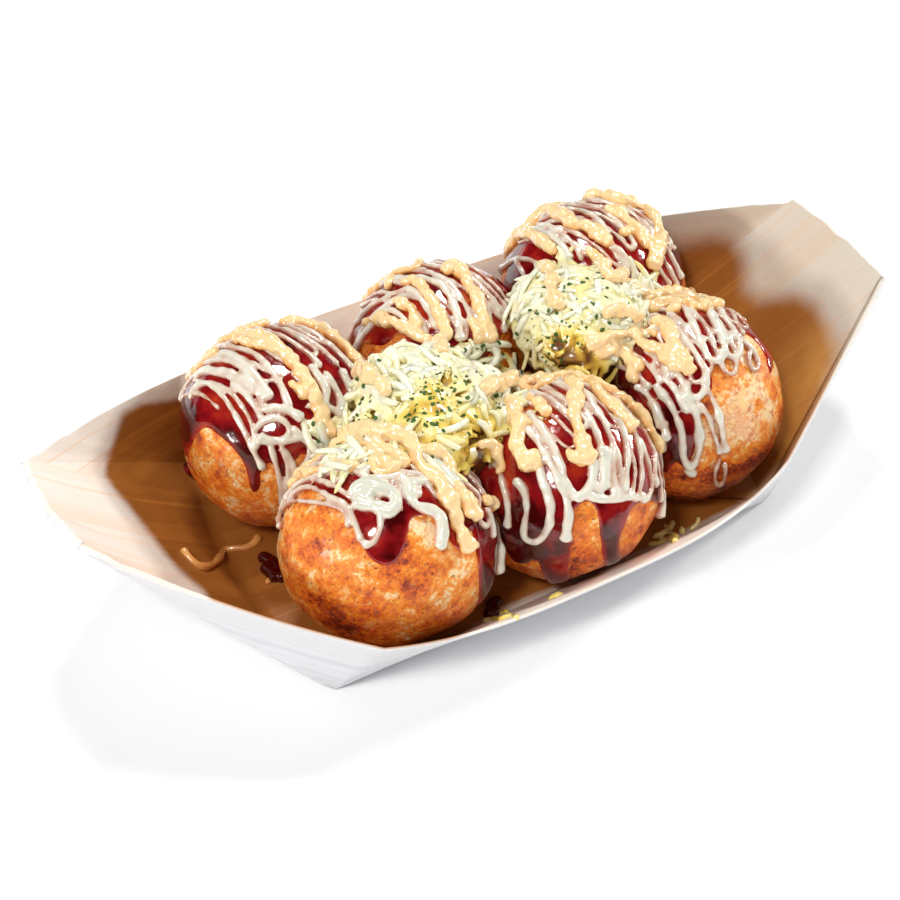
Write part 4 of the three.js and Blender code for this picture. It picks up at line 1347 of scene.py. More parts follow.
# %% Courses of the white lines
WHITE_LINES = {
    # half the bead's width, how far the line goes on over the crown, in millimetres, and dots of the view
    "front_left": [
        (0.78, 0, [(279, 470), (277, 495), (281, 513), (283, 529)]),
        (0.68, 0, [(290, 508), (300, 492), (314, 489), (330, 498), (345, 504), (354, 518), (360, 536),
            (362, 543)]),
        (0.78, 0, [(379, 508), (381, 522), (378, 537), (370, 546), (362, 543)]),
        (0.73, 6, [(345, 472), (328, 476), (310, 481), (297, 490), (289, 503)]),
        (0.73, 0, [(350, 461), (330, 465), (312, 472), (298, 483)]),
        (1.48, 0, [(352, 499), (356, 490), (368, 488), (381, 491), (392, 494), (397, 505), (389, 513),
            (377, 508), (364, 506), (354, 501)]),
        (1.22, 0, [(354, 495), (365, 497), (378, 495)]),
        (0.73, 0, [(337, 483), (346, 478), (350, 470), (358, 468), (362, 477), (371, 472)]),
        (1.01, 0, [(360, 486), (375, 481), (390, 480), (405, 478)]),
        (1.22, 0, [(398, 478), (408, 486), (410, 497), (412, 506), (422, 509), (432, 512), (440, 522),
            (440, 538), (438, 550)]),
        (1.27, 0, [(405, 483), (418, 485), (428, 481), (436, 487)]),
        (1.43, 0, [(412, 451), (424, 458), (436, 468), (446, 478), (456, 490)]),
        (0.68, 8, [(440, 448), (458, 455), (474, 468), (486, 484), (494, 500), (498, 516), (501, 532),
            (507, 546)]),
        (0.64, 8, [(450, 446), (468, 456), (482, 470), (492, 488), (498, 505), (503, 522), (512, 540),
            (514, 556)]),
        (0.68, 6, [(438, 452), (452, 462), (464, 474), (476, 488), (484, 502), (487, 516), (489, 530),
            (491, 539)]),
        (0.64, 6, [(446, 455), (462, 465), (476, 480), (488, 496), (496, 514), (499, 532), (503, 545)]),
        (0.73, 0, [(458, 480), (468, 490), (478, 500), (474, 511), (477, 522), (484, 527), (487, 519),
            (482, 508)]),
        (0.82, 0, [(456, 492), (466, 500), (474, 508)]),
        (1.32, 0, [(500, 540), (508, 550), (513, 562), (510, 571), (503, 577)]),
        (0.59, 0, [(494, 522), (497, 540), (499, 556)]),
    ],
    "front_middle": [
        (0.78, 0, [(478, 462), (492, 462), (501, 470), (505, 484), (509, 500), (510, 515), (509, 528)]),
        (0.86, 0, [(516, 478), (524, 488), (528, 505), (526, 522), (525, 534), (533, 541), (543, 536),
            (550, 522), (551, 506), (547, 490), (541, 474), (538, 458)]),
        (1.01, 0, [(520, 425), (532, 434), (542, 450), (552, 466), (560, 482), (566, 498), (569, 513),
            (567, 528), (565, 540)]),
        (0.82, 0, [(528, 414), (540, 426), (550, 442), (558, 458), (564, 474), (567, 490)]),
        (0.73, 8, [(540, 386), (554, 394), (567, 404), (578, 416)]),
        (0.73, 8, [(544, 398), (557, 406), (568, 416), (576, 428)]),
        (0.82, 8, [(545, 378), (560, 385), (573, 397), (584, 411), (592, 426), (598, 442), (602, 458),
            (604, 474), (604, 490)]),
        (0.68, 10, [(553, 374), (568, 381), (582, 392), (593, 407), (603, 424), (609, 440), (611, 456),
            (612, 474), (613, 490), (614, 501)]),
        (0.96, 0, [(566, 478), (570, 490), (576, 499), (584, 494), (590, 484), (592, 470), (590, 458)]),
        (0.91, 0, [(590, 462), (591, 478), (594, 489), (600, 490), (603, 478), (603, 462), (600, 446)]),
        (0.73, 8, [(575, 378), (590, 386), (603, 399), (613, 414), (620, 430), (624, 446), (625, 462),
            (624, 478), (622, 492)]),
        (0.68, 0, [(606, 430), (613, 446), (617, 462), (619, 478), (619, 492), (614, 502)]),
        (0.68, 8, [(598, 384), (612, 397), (623, 413), (631, 430), (636, 447), (639, 464), (639, 480),
            (636, 494), (633, 502)]),
        (0.64, 0, [(622, 436), (629, 452), (633, 468), (632, 484), (628, 497)]),
        (0.68, 0, [(634, 438), (642, 454), (647, 472), (649, 488), (644, 498), (638, 502)]),
        (0.64, 0, [(640, 430), (649, 447), (654, 465), (657, 484), (657, 502)]),
        (0.64, 8, [(616, 392), (632, 405), (645, 420), (655, 438), (661, 456), (664, 474), (662, 490),
            (658, 504)]),
        (0.64, 0, [(652, 452), (651, 470), (653, 488)]),
        (0.91, 0, [(584, 494), (596, 498), (608, 499), (620, 498), (630, 495)]),
        (0.78, 0, [(642, 492), (634, 500), (628, 494)]),
        (1.01, 0, [(666, 488), (667, 503), (662, 514), (656, 518)]),
        (0.91, 0, [(508, 410), (520, 404), (534, 398)]),
    ],
    "front_right": [
        (0.73, 0, [(641, 321), (654, 318), (668, 323), (680, 334), (690, 348), (699, 361), (705, 374),
            (705, 388)]),
        (0.73, 0, [(705, 388), (712, 399), (718, 416), (722, 434), (725, 452)]),
        (0.73, 0, [(688, 380), (688, 391), (694, 398), (702, 395), (706, 384)]),
        (0.59, 0, [(696, 402), (706, 412), (711, 427), (716, 442), (719, 453)]),
        (0.46, 0, [(720, 455), (715, 466), (714, 478), (719, 484), (724, 474), (723, 460)]),
        (0.50, 10, [(700, 296), (716, 301), (732, 309), (744, 318), (747, 323)]),
        (0.50, 0, [(747, 323), (736, 317), (723, 309), (712, 303)]),
        (0.86, 6, [(684, 310), (692, 324), (698, 338), (704, 352), (710, 362), (719, 362), (722, 350)]),
        (1.18, 8, [(706, 306), (712, 320), (719, 334), (724, 348)]),
        (0.86, 8, [(712, 306), (722, 318), (730, 330), (736, 338)]),
        (0.78, 0, [(722, 342), (724, 354), (731, 360), (738, 354), (737, 342), (729, 338)]),
        (0.59, 0, [(735, 334), (744, 345), (752, 354), (757, 366), (752, 372), (747, 364), (748, 352)]),
        (0.55, 8, [(716, 302), (728, 312), (736, 326), (742, 338)]),
        (0.91, 0, [(636, 386), (648, 394), (657, 408), (664, 424), (668, 440)]),
        (0.96, 0, [(655, 385), (666, 398), (675, 412), (681, 428), (683, 444), (684, 458), (690, 466),
            (696, 460), (699, 446), (699, 430), (696, 414), (690, 402), (683, 392)]),
        (0.73, 0, [(684, 466), (690, 472), (697, 469)]),
        (0.73, 0, [(664, 376), (674, 388), (682, 400), (688, 414)]),
        (0.86, 0, [(676, 372), (684, 384), (688, 396)]),
        (0.68, 0, [(668, 420), (664, 436), (663, 452)]),
        (0.64, 0, [(648, 400), (656, 414), (661, 430)]),
        (0.60, 0, [(612, 364), (626, 369), (640, 377), (652, 389)]),
        (0.60, 0, [(630, 352), (644, 361), (655, 372), (663, 384)]),
        (0.64, 0, [(646, 350), (655, 359), (664, 368), (672, 378)]),
    ],
    "back_left": [
        (0.86, 0, [(268, 402), (258, 388), (244, 379), (228, 373), (210, 372), (197, 379), (188, 391),
            (184, 404)]),
        (0.78, 0, [(192, 402), (198, 389), (208, 384), (218, 389), (228, 401), (237, 415), (245, 430),
            (251, 444), (258, 457), (265, 469)]),
        (0.82, 4, [(214, 358), (230, 356), (244, 364), (256, 376), (266, 389), (271, 401)]),
        (0.68, 4, [(206, 366), (222, 362), (238, 366), (250, 376), (262, 389)]),
        (0.73, 6, [(236, 350), (252, 354), (266, 365), (277, 380), (285, 395), (290, 410)]),
        (0.64, 0, [(232, 384), (246, 394), (256, 407), (262, 420)]),
        (0.91, 0, [(253, 433), (262, 423), (274, 418), (286, 422), (290, 431), (284, 439), (270, 440),
            (258, 437)]),
        (0.86, 0, [(258, 437), (272, 441), (292, 440), (306, 434)]),
        (0.68, 0, [(270, 443), (275, 458), (279, 474), (281, 490), (284, 504)]),
        (0.68, 0, [(280, 444), (286, 458), (288, 474), (286, 490), (285, 503)]),
        (0.96, 0, [(262, 410), (276, 408), (290, 412), (304, 420)]),
        (0.73, 8, [(256, 332), (274, 336), (292, 344), (308, 356), (320, 370)]),
        (0.73, 8, [(268, 329), (288, 334), (308, 343), (324, 355), (337, 368)]),
        (0.73, 8, [(285, 327), (305, 333), (324, 344), (340, 358), (352, 372)]),
        (0.68, 8, [(300, 328), (320, 334), (338, 344), (354, 356), (368, 364)]),
        (0.64, 6, [(318, 331), (338, 337), (354, 347), (367, 357)]),
        (0.91, 0, [(308, 366), (318, 380), (325, 394), (322, 408), (326, 420)]),
        (0.91, 0, [(322, 372), (332, 386), (338, 400), (342, 414)]),
        (1.01, 0, [(338, 370), (346, 384), (350, 398), (352, 412)]),
        (0.82, 0, [(292, 372), (302, 386), (309, 398)]),
        (0.82, 0, [(304, 408), (318, 404), (332, 410), (344, 420)]),
        (0.73, 0, [(290, 425), (300, 436), (310, 446), (306, 460), (298, 474)]),
        (0.73, 0, [(282, 446), (292, 460), (294, 476), (290, 492)]),
        (0.60, 0, [(197, 382), (212, 384), (228, 390), (240, 402), (250, 418), (256, 434), (257, 450)]),
        (0.55, 0, [(222, 372), (238, 378), (252, 388), (262, 402), (268, 412)]),
        (0.50, 0, [(186, 398), (196, 394), (208, 398), (222, 410)]),
    ],
    "back_middle": [
        (0.73, 6, [(390, 306), (400, 301), (412, 309), (421, 322), (428, 336)]),
        (0.78, 8, [(398, 295), (410, 291), (421, 300), (430, 314), (437, 330)]),
        (0.91, 10, [(424, 281), (438, 285), (448, 296), (455, 310), (459, 325), (459, 342)]),
        (0.73, 10, [(436, 278), (450, 286), (460, 298), (467, 312), (470, 326)]),
        (0.73, 8, [(474, 284), (486, 295), (496, 307), (503, 320), (501, 334)]),
        (0.64, 8, [(480, 290), (490, 302), (497, 316)]),
        (0.73, 4, [(382, 318), (392, 311), (404, 318), (412, 330)]),
    ],
    "back_right": [
        (0.78, 6, [(522, 236), (538, 231), (553, 238), (565, 250), (572, 262)]),
        (0.73, 8, [(536, 226), (552, 229), (566, 238), (577, 250), (583, 262)]),
        (0.78, 10, [(556, 215), (574, 212), (590, 217), (602, 227), (607, 238)]),
        (0.68, 10, [(568, 218), (583, 224), (594, 234), (600, 244)]),
        (0.73, 6, [(506, 268), (518, 260), (532, 261), (546, 268)]),
        (0.73, 0, [(518, 262), (526, 275), (530, 290), (536, 302)]),
        (0.68, 0, [(536, 262), (541, 276), (546, 292)]),
        (0.73, 0, [(596, 240), (610, 246), (622, 254), (631, 266), (636, 279)]),
        (0.64, 0, [(612, 254), (622, 264), (628, 276)]),
        (0.64, 8, [(640, 226), (650, 240), (659, 256), (668, 272), (675, 287)]),
        (0.64, 8, [(650, 232), (661, 246), (671, 262), (679, 280)]),
        (0.64, 0, [(652, 262), (660, 274), (668, 286)]),
        (0.59, 0, [(654, 252), (664, 251), (672, 249)]),
        (0.73, 12, [(586, 208), (600, 212), (614, 222), (624, 234)]),
    ],
}
WHITE_WEBS = {
    # (heading, passes, pitch, shift, near, far) of lines that run back and forth over the crown
    "front_left": [(-74, 7, 2.9, 5, 9, 24), (-66, 4, 4.5, -6, 3, 24)],
    "front_middle": [(-80, 9, 2.7, 2, 7, 25)],
    "front_right": [(-96, 5, 3.2, -3, 10, 22), (-84, 5, 3.4, 5, 4, 24), (-104, 4, 3.6, -10, 8, 18)],
    "back_left": [(-70, 9, 2.8, 1, 5, 24)],
    "back_middle": [(-72, 8, 2.8, 0, 13, 22)],
    "back_right": [(-68, 10, 2.6, 1, 14, 24)],
}
print(sum(map(len, WHITE_LINES.values())), "white lines")

# %% White lines
WEB_BEAD = 0.58
FURTHER_OVER = 12
SWAY = 0.16


def white_runs(name):
    """The white lines of one ball, as paths with the radius at each point."""
    ball = BALLS[name]
    draw = seeded_random(ball["seed"] + 300)
    runs = []
    for web in WHITE_WEBS[name]:
        path = zigzag_path(ball, *web, SAUCE_FILM + 0.1 * WEB_BEAD, draw)
        runs.append((path, bead_sizes(path, WEB_BEAD, draw, unevenness=0.22, drip=0.4)))
    for radius, over, dots in WHITE_LINES[name]:
        far = over + FURTHER_OVER if over else 0
        path = drizzled_path(dots, SAUCE_FILM + 0.12 * radius, ball, far, SWAY * (draw() - 0.5))
        runs.append((path, bead_sizes(path, radius, draw, unevenness=0.18, drip=0.45)))
    return runs


for name, ball in BALLS.items():
    piece = melted_beads(f"white_mayonnaise_{name}", white_runs(name), white_mayo, voxel=0.29, rounds=3)
    roughen(piece, ball["seed"] + 19, (0.10, 1.2, 3.0))
    set_attribute(piece, "height", height_above(points_of(piece), [ball]))
    hand_over(piece, "white_sauce", f"ball_{name}")

# %% [markdown]
# ## Orange mayonnaise
# The second mayonnaise is thicker and full of fine grains of roe. It lies in fat ropes that keep the lumps
# they were laid with. The same bead tree makes them, and two fields of small bumps then roughen the surface.
# A rope that crosses a mound lies on top of its shreds.

# %% Orange mayonnaise finish
orange_mayo, g, place = new_finish("orange_mayonnaise")
height = g.attribute("height")
grit = g.noise(place, 900, 3.0, 0.6)
cloud = g.noise(place, 210, 2.0, 0.5)
# Painted shade: a rope is darker low down, near what it lies on, and lighter on top.
colour = g.ramp(g.step(height + (cloud - 0.5) * 0.9, 0.1, 2.2), [
    (0.00, (0.60, 0.22, 0.045)), (0.35, (0.84, 0.43, 0.13)), (0.70, (0.90, 0.55, 0.22)),
    (1.00, (0.93, 0.67, 0.35))])
colour = g.blend(g.step(grit, 0.62, 0.8) * 0.35, colour, (0.85, 0.42, 0.14))
relief = g.bump(grit * 0.5 + cloud, 0.0003, 0.5)
set_shader(
    orange_mayo, g, Base_Color=colour, Roughness=0.26, Normal=relief, Coat_Weight=1.0,
    Coat_Roughness=0.10, Specular_IOR_Level=0.7, Subsurface_Weight=0.3, Subsurface_Scale=0.0006,
    Subsurface_Radius=(1.0, 0.6, 0.3))

# %% Courses of the orange ropes
ORANGE_LINES = {
    # in the same form as the white lines
    "front_left": [
        (1.34, 0, [(350, 437), (360, 444), (370, 452), (378, 462), (388, 470), (396, 477)]),
        (1.46, 0, [(372, 447), (386, 455), (398, 462), (404, 472)]),
        (1.23, 0, [(372, 462), (378, 474), (390, 476)]),
        (1.62, 6, [(398, 442), (410, 452), (416, 464), (424, 475), (436, 484), (442, 497), (449, 512),
            (455, 528), (461, 542), (466, 552)]),
        (1.34, 8, [(424, 441), (434, 452), (443, 463), (448, 478), (454, 492), (460, 506), (466, 520)]),
        (1.12, 0, [(452, 489), (462, 498), (470, 512), (472, 524)]),
        (1.34, 0, [(478, 500), (486, 506), (490, 514)]),
    ],
    "front_middle": [
        (1.57, 0, [(474, 398), (490, 393), (508, 389), (524, 384), (535, 385)]),
        (1.23, 0, [(528, 400), (538, 405), (546, 413), (547, 421)]),
        (1.62, 0, [(508, 411), (519, 416), (523, 428), (520, 441), (522, 453), (528, 464), (529, 474)]),
        (1.46, 0, [(560, 372), (570, 383), (575, 397), (573, 411), (575, 426), (582, 440), (583, 453),
            (576, 461)]),
        (1.79, 0, [(566, 452), (574, 460), (585, 462), (590, 452)]),
        (1.40, 8, [(570, 370), (584, 381), (594, 393), (604, 405), (614, 415), (624, 425), (632, 434)]),
        (1.29, 0, [(600, 400), (612, 408), (622, 420), (628, 432)]),
        (1.34, 8, [(582, 376), (600, 385), (616, 397), (630, 409), (643, 420), (654, 430), (658, 443),
            (656, 456)]),
        (1.06, 0, [(474, 451), (487, 449), (498, 456), (502, 466), (504, 476)]),
        (1.23, 0, [(530, 452), (536, 460), (534, 470)]),
    ],
    "front_right": [
        (1.45, 0, [(636, 304), (650, 296), (664, 292), (680, 292), (692, 298), (702, 306), (704, 314)]),
        (1.25, 0, [(672, 298), (684, 304), (696, 312)]),
        (1.40, 0, [(586, 352), (602, 345), (618, 341), (634, 341), (648, 348), (662, 352), (676, 358),
            (688, 367), (693, 375)]),
        (1.45, 0, [(652, 326), (664, 326), (672, 336), (676, 349), (684, 362), (690, 370)]),
        (1.30, 0, [(658, 356), (670, 362), (680, 370)]),
        (1.23, 0, [(592, 358), (610, 357), (626, 357), (636, 360)]),
        (1.23, 0, [(632, 358), (634, 371), (638, 384)]),
        (1.34, 0, [(600, 318), (616, 316), (630, 322), (636, 330)]),
        (1.34, 8, [(700, 300), (710, 304), (716, 312)]),
        (1.20, 0, [(604, 350), (620, 353), (634, 361), (646, 369)]),
    ],
    "back_left": [
        (1.51, 0, [(234, 336), (246, 338), (260, 341), (274, 349), (287, 359), (297, 371), (306, 384),
            (314, 398), (317, 411), (323, 425), (330, 438)]),
        (1.46, 0, [(280, 325), (294, 322), (308, 327), (322, 336), (337, 346), (348, 357), (358, 369)]),
        (1.40, 0, [(358, 369), (370, 380), (382, 392), (392, 402)]),
        (1.01, 0, [(288, 384), (298, 391), (306, 400)]),
        (1.34, 0, [(236, 343), (252, 347), (268, 350), (282, 354)]),
        (1.23, 0, [(362, 382), (376, 388), (388, 396)]),
    ],
    "back_middle": [
        (1.34, 0, [(403, 288), (414, 284), (424, 290), (432, 301), (438, 314), (443, 328), (448, 342)]),
        (1.62, 0, [(442, 277), (454, 272), (463, 280), (469, 292), (476, 304), (481, 317), (485, 331),
            (488, 345)]),
        (1.46, 0, [(368, 324), (379, 320), (392, 323), (407, 328), (421, 336), (433, 346), (441, 356)]),
        (1.12, 0, [(396, 303), (408, 307), (416, 317), (422, 330)]),
        (1.23, 0, [(470, 320), (476, 332), (482, 344)]),
    ],
    "back_right": [
        (1.57, 0, [(512, 250), (521, 239), (535, 238), (547, 246), (558, 254)]),
        (1.62, 0, [(527, 229), (536, 217), (551, 214), (565, 220), (578, 228), (590, 230), (600, 240),
            (613, 247)]),
        (1.74, 0, [(582, 202), (595, 196), (609, 204), (624, 208), (639, 212), (651, 224), (657, 239),
            (653, 254), (648, 270)]),
        (1.34, 0, [(604, 212), (619, 218), (632, 228), (644, 240), (654, 248)]),
        (1.01, 0, [(620, 237), (630, 232), (640, 241), (648, 250)]),
        (1.29, 0, [(584, 250), (594, 256), (600, 266), (606, 276)]),
        (1.50, 0, [(543, 262), (548, 276), (552, 290), (556, 304), (562, 315)]),
        (1.50, 0, [(598, 274), (614, 285), (632, 291), (650, 297), (662, 305)]),
    ],
}
ORANGE_WEBS = {
    "front_left": [(-62, 2, 9, 2, -4, 26)],
    "front_middle": [(-52, 2, 10, 3, -6, 26)],
    "front_right": [(-75, 2, 9, -4, -6, 26)],
    "back_left": [(-64, 3, 7, 2, -14, 27)],
    "back_middle": [(-72, 3, 6, 1, -14, 26)],
    "back_right": [(-68, 3, 7, -1, -14, 28)],
}
print(sum(map(len, ORANGE_LINES.values())), "ropes")

# %% Orange ropes
WEB_ROPE = 1.15
OVER_SHREDS = 2.0
HIGHEST_ROPE = 43.6


def orange_runs(name):
    """The ropes of one ball, as paths with the radius at each point."""
    ball = BALLS[name]
    draw = seeded_random(ball["seed"] + 500)
    runs = []
    for web in ORANGE_WEBS[name]:
        path = zigzag_path(ball, *web, SAUCE_FILM + 0.4 * WEB_ROPE, draw)
        runs.append((path, bead_sizes(path, WEB_ROPE, draw, unevenness=0.2, drip=0.4)))
    for radius, over, dots in ORANGE_LINES[name]:
        if over:
            far = over + FURTHER_OVER
            path = drizzled_path(dots, SAUCE_FILM + 0.4 * radius, ball, far, SWAY * (draw() - 0.5))
        else:
            path = drizzled_path(dots, SAUCE_FILM + 0.4 * radius)
        on_mound = 1 - smooth_step(1.0, 4.5, height_above(path, list(HEAPS.values())))
        path[:, 2] = np.minimum(path[:, 2] + OVER_SHREDS * on_mound, np.maximum(path[:, 2], HIGHEST_ROPE))
        runs.append((path, bead_sizes(path, radius, draw, unevenness=0.16, drip=0.25)))
    return runs


for name, ball in BALLS.items():
    piece = melted_beads(f"orange_mayonnaise_{name}", orange_runs(name), orange_mayo, voxel=0.32, rounds=2)
    roughen(piece, ball["seed"] + 41, (0.28, 0.9, 2.2), (0.12, 2.2, 4.2))
    set_attribute(piece, "height", height_above(points_of(piece), FOODS))
    hand_over(piece, "orange_sauce", f"ball_{name}")

# %% [markdown]
# ## Shredded cheese
# Each mound is a real tangle of shreds over a core. The core keeps the mound's form; it is deep yellow on
# top and painted dark round its sides, painted shade like that in the depths between shreds. A Geometry
# Nodes tree scatters the shreds over it and over the skins beside it. It picks one of five curls for each
# point and lays it along the surface with a small lean. Most shreds have melted into each other, which a
# voxel remesh imitates, and loose ones lie on top. The highest shreds sag. The finish paints shade: a place
# is darker the lower it lies among the shreds, and darker still at given spots of painted shade on the heap.

# %% Cheese finishes
cheese, g, place = new_finish("cheese")
tint = g.noise(place, 150, 2.0, 0.5)
# Painted shade: the lower a place lies among the shreds, the darker its colour, down to near black.
depth = g.attribute("height") * 0.24 + (tint - 0.5) * 0.9 + g.attribute("tone") * 0.45 + 0.15
colour = g.ramp(depth, [
    (0.00, (0.16, 0.055, 0.012)), (0.16, (0.58, 0.34, 0.04)), (0.36, (0.84, 0.64, 0.13)),
    (0.62, (0.86, 0.78, 0.38)), (1.00, (0.86, 0.86, 0.67))])
relief = g.bump(g.noise(place, 700, 2.0, 0.5), 0.0002, 0.4)
set_shader(
    cheese, g, Base_Color=colour, Roughness=0.3, Normal=relief, Coat_Weight=0.9, Coat_Roughness=0.10,
    Subsurface_Weight=0.4, Subsurface_Scale=0.0005, Subsurface_Radius=(1.0, 0.9, 0.5))

# %% Chance in trees that scatter
FULL_TURN = 6.2832


def turned(graph, rotation, axis, angle):
    """The rotation, turned on about one of its own axes."""
    more = graph.wire("FunctionNodeAxisAngleToRotation", None, {"Axis": axis, "Angle": angle})
    return graph.wire("FunctionNodeRotateRotation", {"rotation_space": "LOCAL"}, {
        "Rotation": rotation, "Rotate By": more})


def spread_by_chance(graph, into, share):
    """Points over a surface, crowded as an attribute says, and how a thing lies there, turned by chance."""
    made = graph.node("GeometryNodeDistributePointsOnFaces", {"distribute_method": "RANDOM"}, {
        "Mesh": into["Geometry"], "Seed": into["Seed"],
        "Density": into["Per square metre"] * graph.carried(share)})
    turn = graph.chance(0.0, FULL_TURN, 1, into["Seed"])
    lie = turned(graph, Wire(graph, made.outputs["Rotation"]), (0, 0, 1), turn)
    return Wire(graph, made.outputs["Points"]), lie


print("chance helpers ready")

# %% Tree: shreds on a surface
# How far the middle of a curl is off the straight line, as shares of its length: along, across and up.
SHRED_CURLS = [
    (-0.15, 0.30, 0.10), (0.25, -0.26, 0.22), (0.0, 0.16, -0.02), (0.3, 0.45, 0.05), (-0.3, -0.1, 0.3)]
g, into = new_tree("shreds on a surface", {
    "Per square metre": "Float", "Length": "Float", "Thickness": "Float", "Lean": "Float", "Loft": "Float",
    "Seed": "Int", "Finish": "Material"})
length = into["Length"]
section = g.wire("GeometryNodeCurvePrimitiveCircle", None, {"Resolution": 5, "Radius": into["Thickness"]})
share = g.wire("GeometryNodeSplineParameter")
taper = (share * (1 - share) * 4.0) ** 0.5 * 0.3 + 0.7
choice = g.node("GeometryNodeGeometryToInstance")
for along, across, lift in SHRED_CURLS:
    arc = g.wire("GeometryNodeCurveQuadraticBezier", None, {
        "Resolution": 6, "Start": g.vector(length * -0.5), "End": g.vector(length * 0.5),
        "Middle": g.vector(length * along, length * across, length * lift)})
    curl = g.wire("GeometryNodeCurveToMesh", None, {
        "Curve": arc, "Profile Curve": section, "Scale": taper, "Fill Caps": True})
    g.tree.links.new(curl.socket, choice.inputs["Geometry"])

seed = into["Seed"]
places, lie = spread_by_chance(g, into, "thick")
lie = turned(g, lie, (0, 1, 0), g.chance(-1.0, 1.0, 2, seed) * into["Lean"])
size = g.vector(g.chance(0.5, 1.25, 3, seed), g.chance(0.8, 1.3, 6, seed), 0.75)
shreds = g.wire("GeometryNodeInstanceOnPoints", None, {
    "Points": places, "Instance": Wire(g, choice.outputs[0]), "Pick Instance": True, "Rotation": lie,
    "Scale": size})
loft = g.vector(z=g.chance(0.0, 1.0, 4, seed) * into["Loft"])
shreds = g.wire("GeometryNodeTranslateInstances", None, {"Instances": shreds, "Translation": loft})
shreds = g.wire("GeometryNodeStoreNamedAttribute", {"data_type": "FLOAT", "domain": "INSTANCE"}, {
    "Geometry": shreds, "Name": "tone", "Value": g.chance(0.0, 1.0, 5, seed)})
SHRED_TREE = close_tree(g, shreds, into["Finish"])
print("tree:", SHRED_TREE.name, "with", len(SHRED_TREE.nodes), "nodes")

# %% Where the cheese lies, as spots on whatever is under them
CHEESE_SPOTS = {
    # a dot of the view, then the spot's radius in millimetres and how thick it lies
    "left": [
        (372, 448, 10, 1.0), (425, 400, 12, 1.0), (480, 372, 10, 1.0), (497, 415, 8, 0.9),
        (405, 362, 7, 0.8), (350, 460, 6, 0.9), (440, 440, 9, 1.0), (385, 400, 8, 0.9),
        (328, 442, 5, 0.9), (345, 425, 6, 0.9)],
    "right": [
        (572, 312, 11, 1.0), (602, 288, 9, 1.0), (552, 335, 9, 0.9), (624, 318, 8, 0.8),
        (540, 292, 7, 0.8), (610, 345, 6, 0.5), (560, 268, 6, 0.5), (640, 290, 6, 0.5)],
}
COARSE_DIRECTIONS, COARSE_FACES = round_net(5)
THINNEST_BED = 0.12


def bed_of_cheese(name):
    """The skins of the mound and of the balls beside it, where cheese lies on them, and how thickly."""
    heap = HEAPS[name]
    points, faces, thick = [], [], []
    for food in [heap, *BALLS.values()]:
        places = food["middle"] + COARSE_DIRECTIONS * food["reach"](COARSE_DIRECTIONS)[:, None]
        catch = np.zeros(len(places))
        for x, y, size, strength in CHEESE_SPOTS[name]:
            apart = lengths_of(places - nearest_food([(x, y)], FOODS)[0])
            catch = np.maximum(catch, strength * (1 - smooth_step(0.55 * size, size, apart)))
        if food is heap:
            catch = np.maximum(catch, smooth_step(-0.05, 0.35, COARSE_DIRECTIONS[:, 2]))
        others = [other for other in FOODS if other is not food]
        catch[height_above(places, others) < -0.6] = 0
        chosen = COARSE_FACES[(catch[COARSE_FACES] > THINNEST_BED).all(axis=1)]
        faces += (chosen + len(points)).tolist()
        points += list(places)
        thick += list(catch)
    return points, faces, thick


print("spots of cheese:", sum(map(len, CHEESE_SPOTS.values())))

# %% Mounds: a core, melted shreds over it and loose shreds on top
SHREDS = {
    # how many to the square metre, how far they rise from the bed in millimetres, and how much they lean
    "melted": (260000, 0.3, 0.3),
    "loose": (120000, 1.6, 0.5),
}
SHRED_LENGTH = 9.0
SHRED_RADIUS = 0.80
SAG_FROM = 44.0
SAG_SHARE = 0.45
CORE_GROW = 0.4
MELTED_TONE = 0.3
# Spots of painted shade on the heap: a dot of the view, a size in such dots, and a depth in millimetres by
# which they lower the height.
PAINTED_SHADE_SPOTS = [(418, 418, 32, 2.2), (562, 348, 28, 2.2), (474, 450, 34, 3.6), (590, 372, 30, 3.0)]


def height_with_painted_shade(places):
    """Height above the skins, less at the spots of painted shade."""
    height = height_above(places, FOODS) + SHRED_DEPTH
    for x, y, size, depth in PAINTED_SHADE_SPOTS:
        apart = lengths_of(places - nearest_food([(x, y)], FOODS)[0])
        height -= depth * np.exp(-(apart / (size / DOTS_PER_MM)) ** 2)
    return height


for name, heap in HEAPS.items():
    places = heap["middle"] + COARSE_DIRECTIONS * heap["reach"](COARSE_DIRECTIONS, CORE_GROW)[:, None]
    # Painted shade: the core is darkened round its sides.
    shade = -3 * smooth_step(0.4, 0.0, COARSE_DIRECTIONS[:, 2])
    core = new_object(
        f"cheese_core_{name}", places, [], COARSE_FACES, cheese, height=shade, tone=np.zeros(len(places)))
    hand_over(core, "cheese", f"cheese_{name}")
    points, faces, thick = bed_of_cheese(name)
    for kind, (crowd, loft, lean) in SHREDS.items():
        bed = new_object(f"cheese_bed_{kind}", points, [], faces, thick=thick)
        grow(bed, SHRED_TREE, {
            "Per square metre": crowd, "Length": SHRED_LENGTH * MM, "Thickness": SHRED_RADIUS * MM,
            "Lean": lean, "Loft": loft * MM, "Seed": heap["seed"] + len(kind), "Finish": cheese})
        if kind == "melted":
            melt(bed, voxel=0.42, rounds=4)
        piece = settle(bed, f"cheese_{kind}_{name}", cheese)
        places = points_of(piece)
        places[:, 2] = np.minimum(places[:, 2], SAG_FROM + (places[:, 2] - SAG_FROM) * SAG_SHARE)
        move_points(piece, places)
        set_attribute(piece, "height", height_with_painted_shade(places))
        if kind == "melted":
            set_attribute(piece, "tone", np.full(len(places), MELTED_TONE))
        hand_over(piece, "cheese", f"cheese_{name}")

# %% [markdown]
# ## Green laver
# Flakes of dried laver stick where they fall, mostly on the cheese. They are scattered over the finished
# shreds themselves, so that each one lies on something.

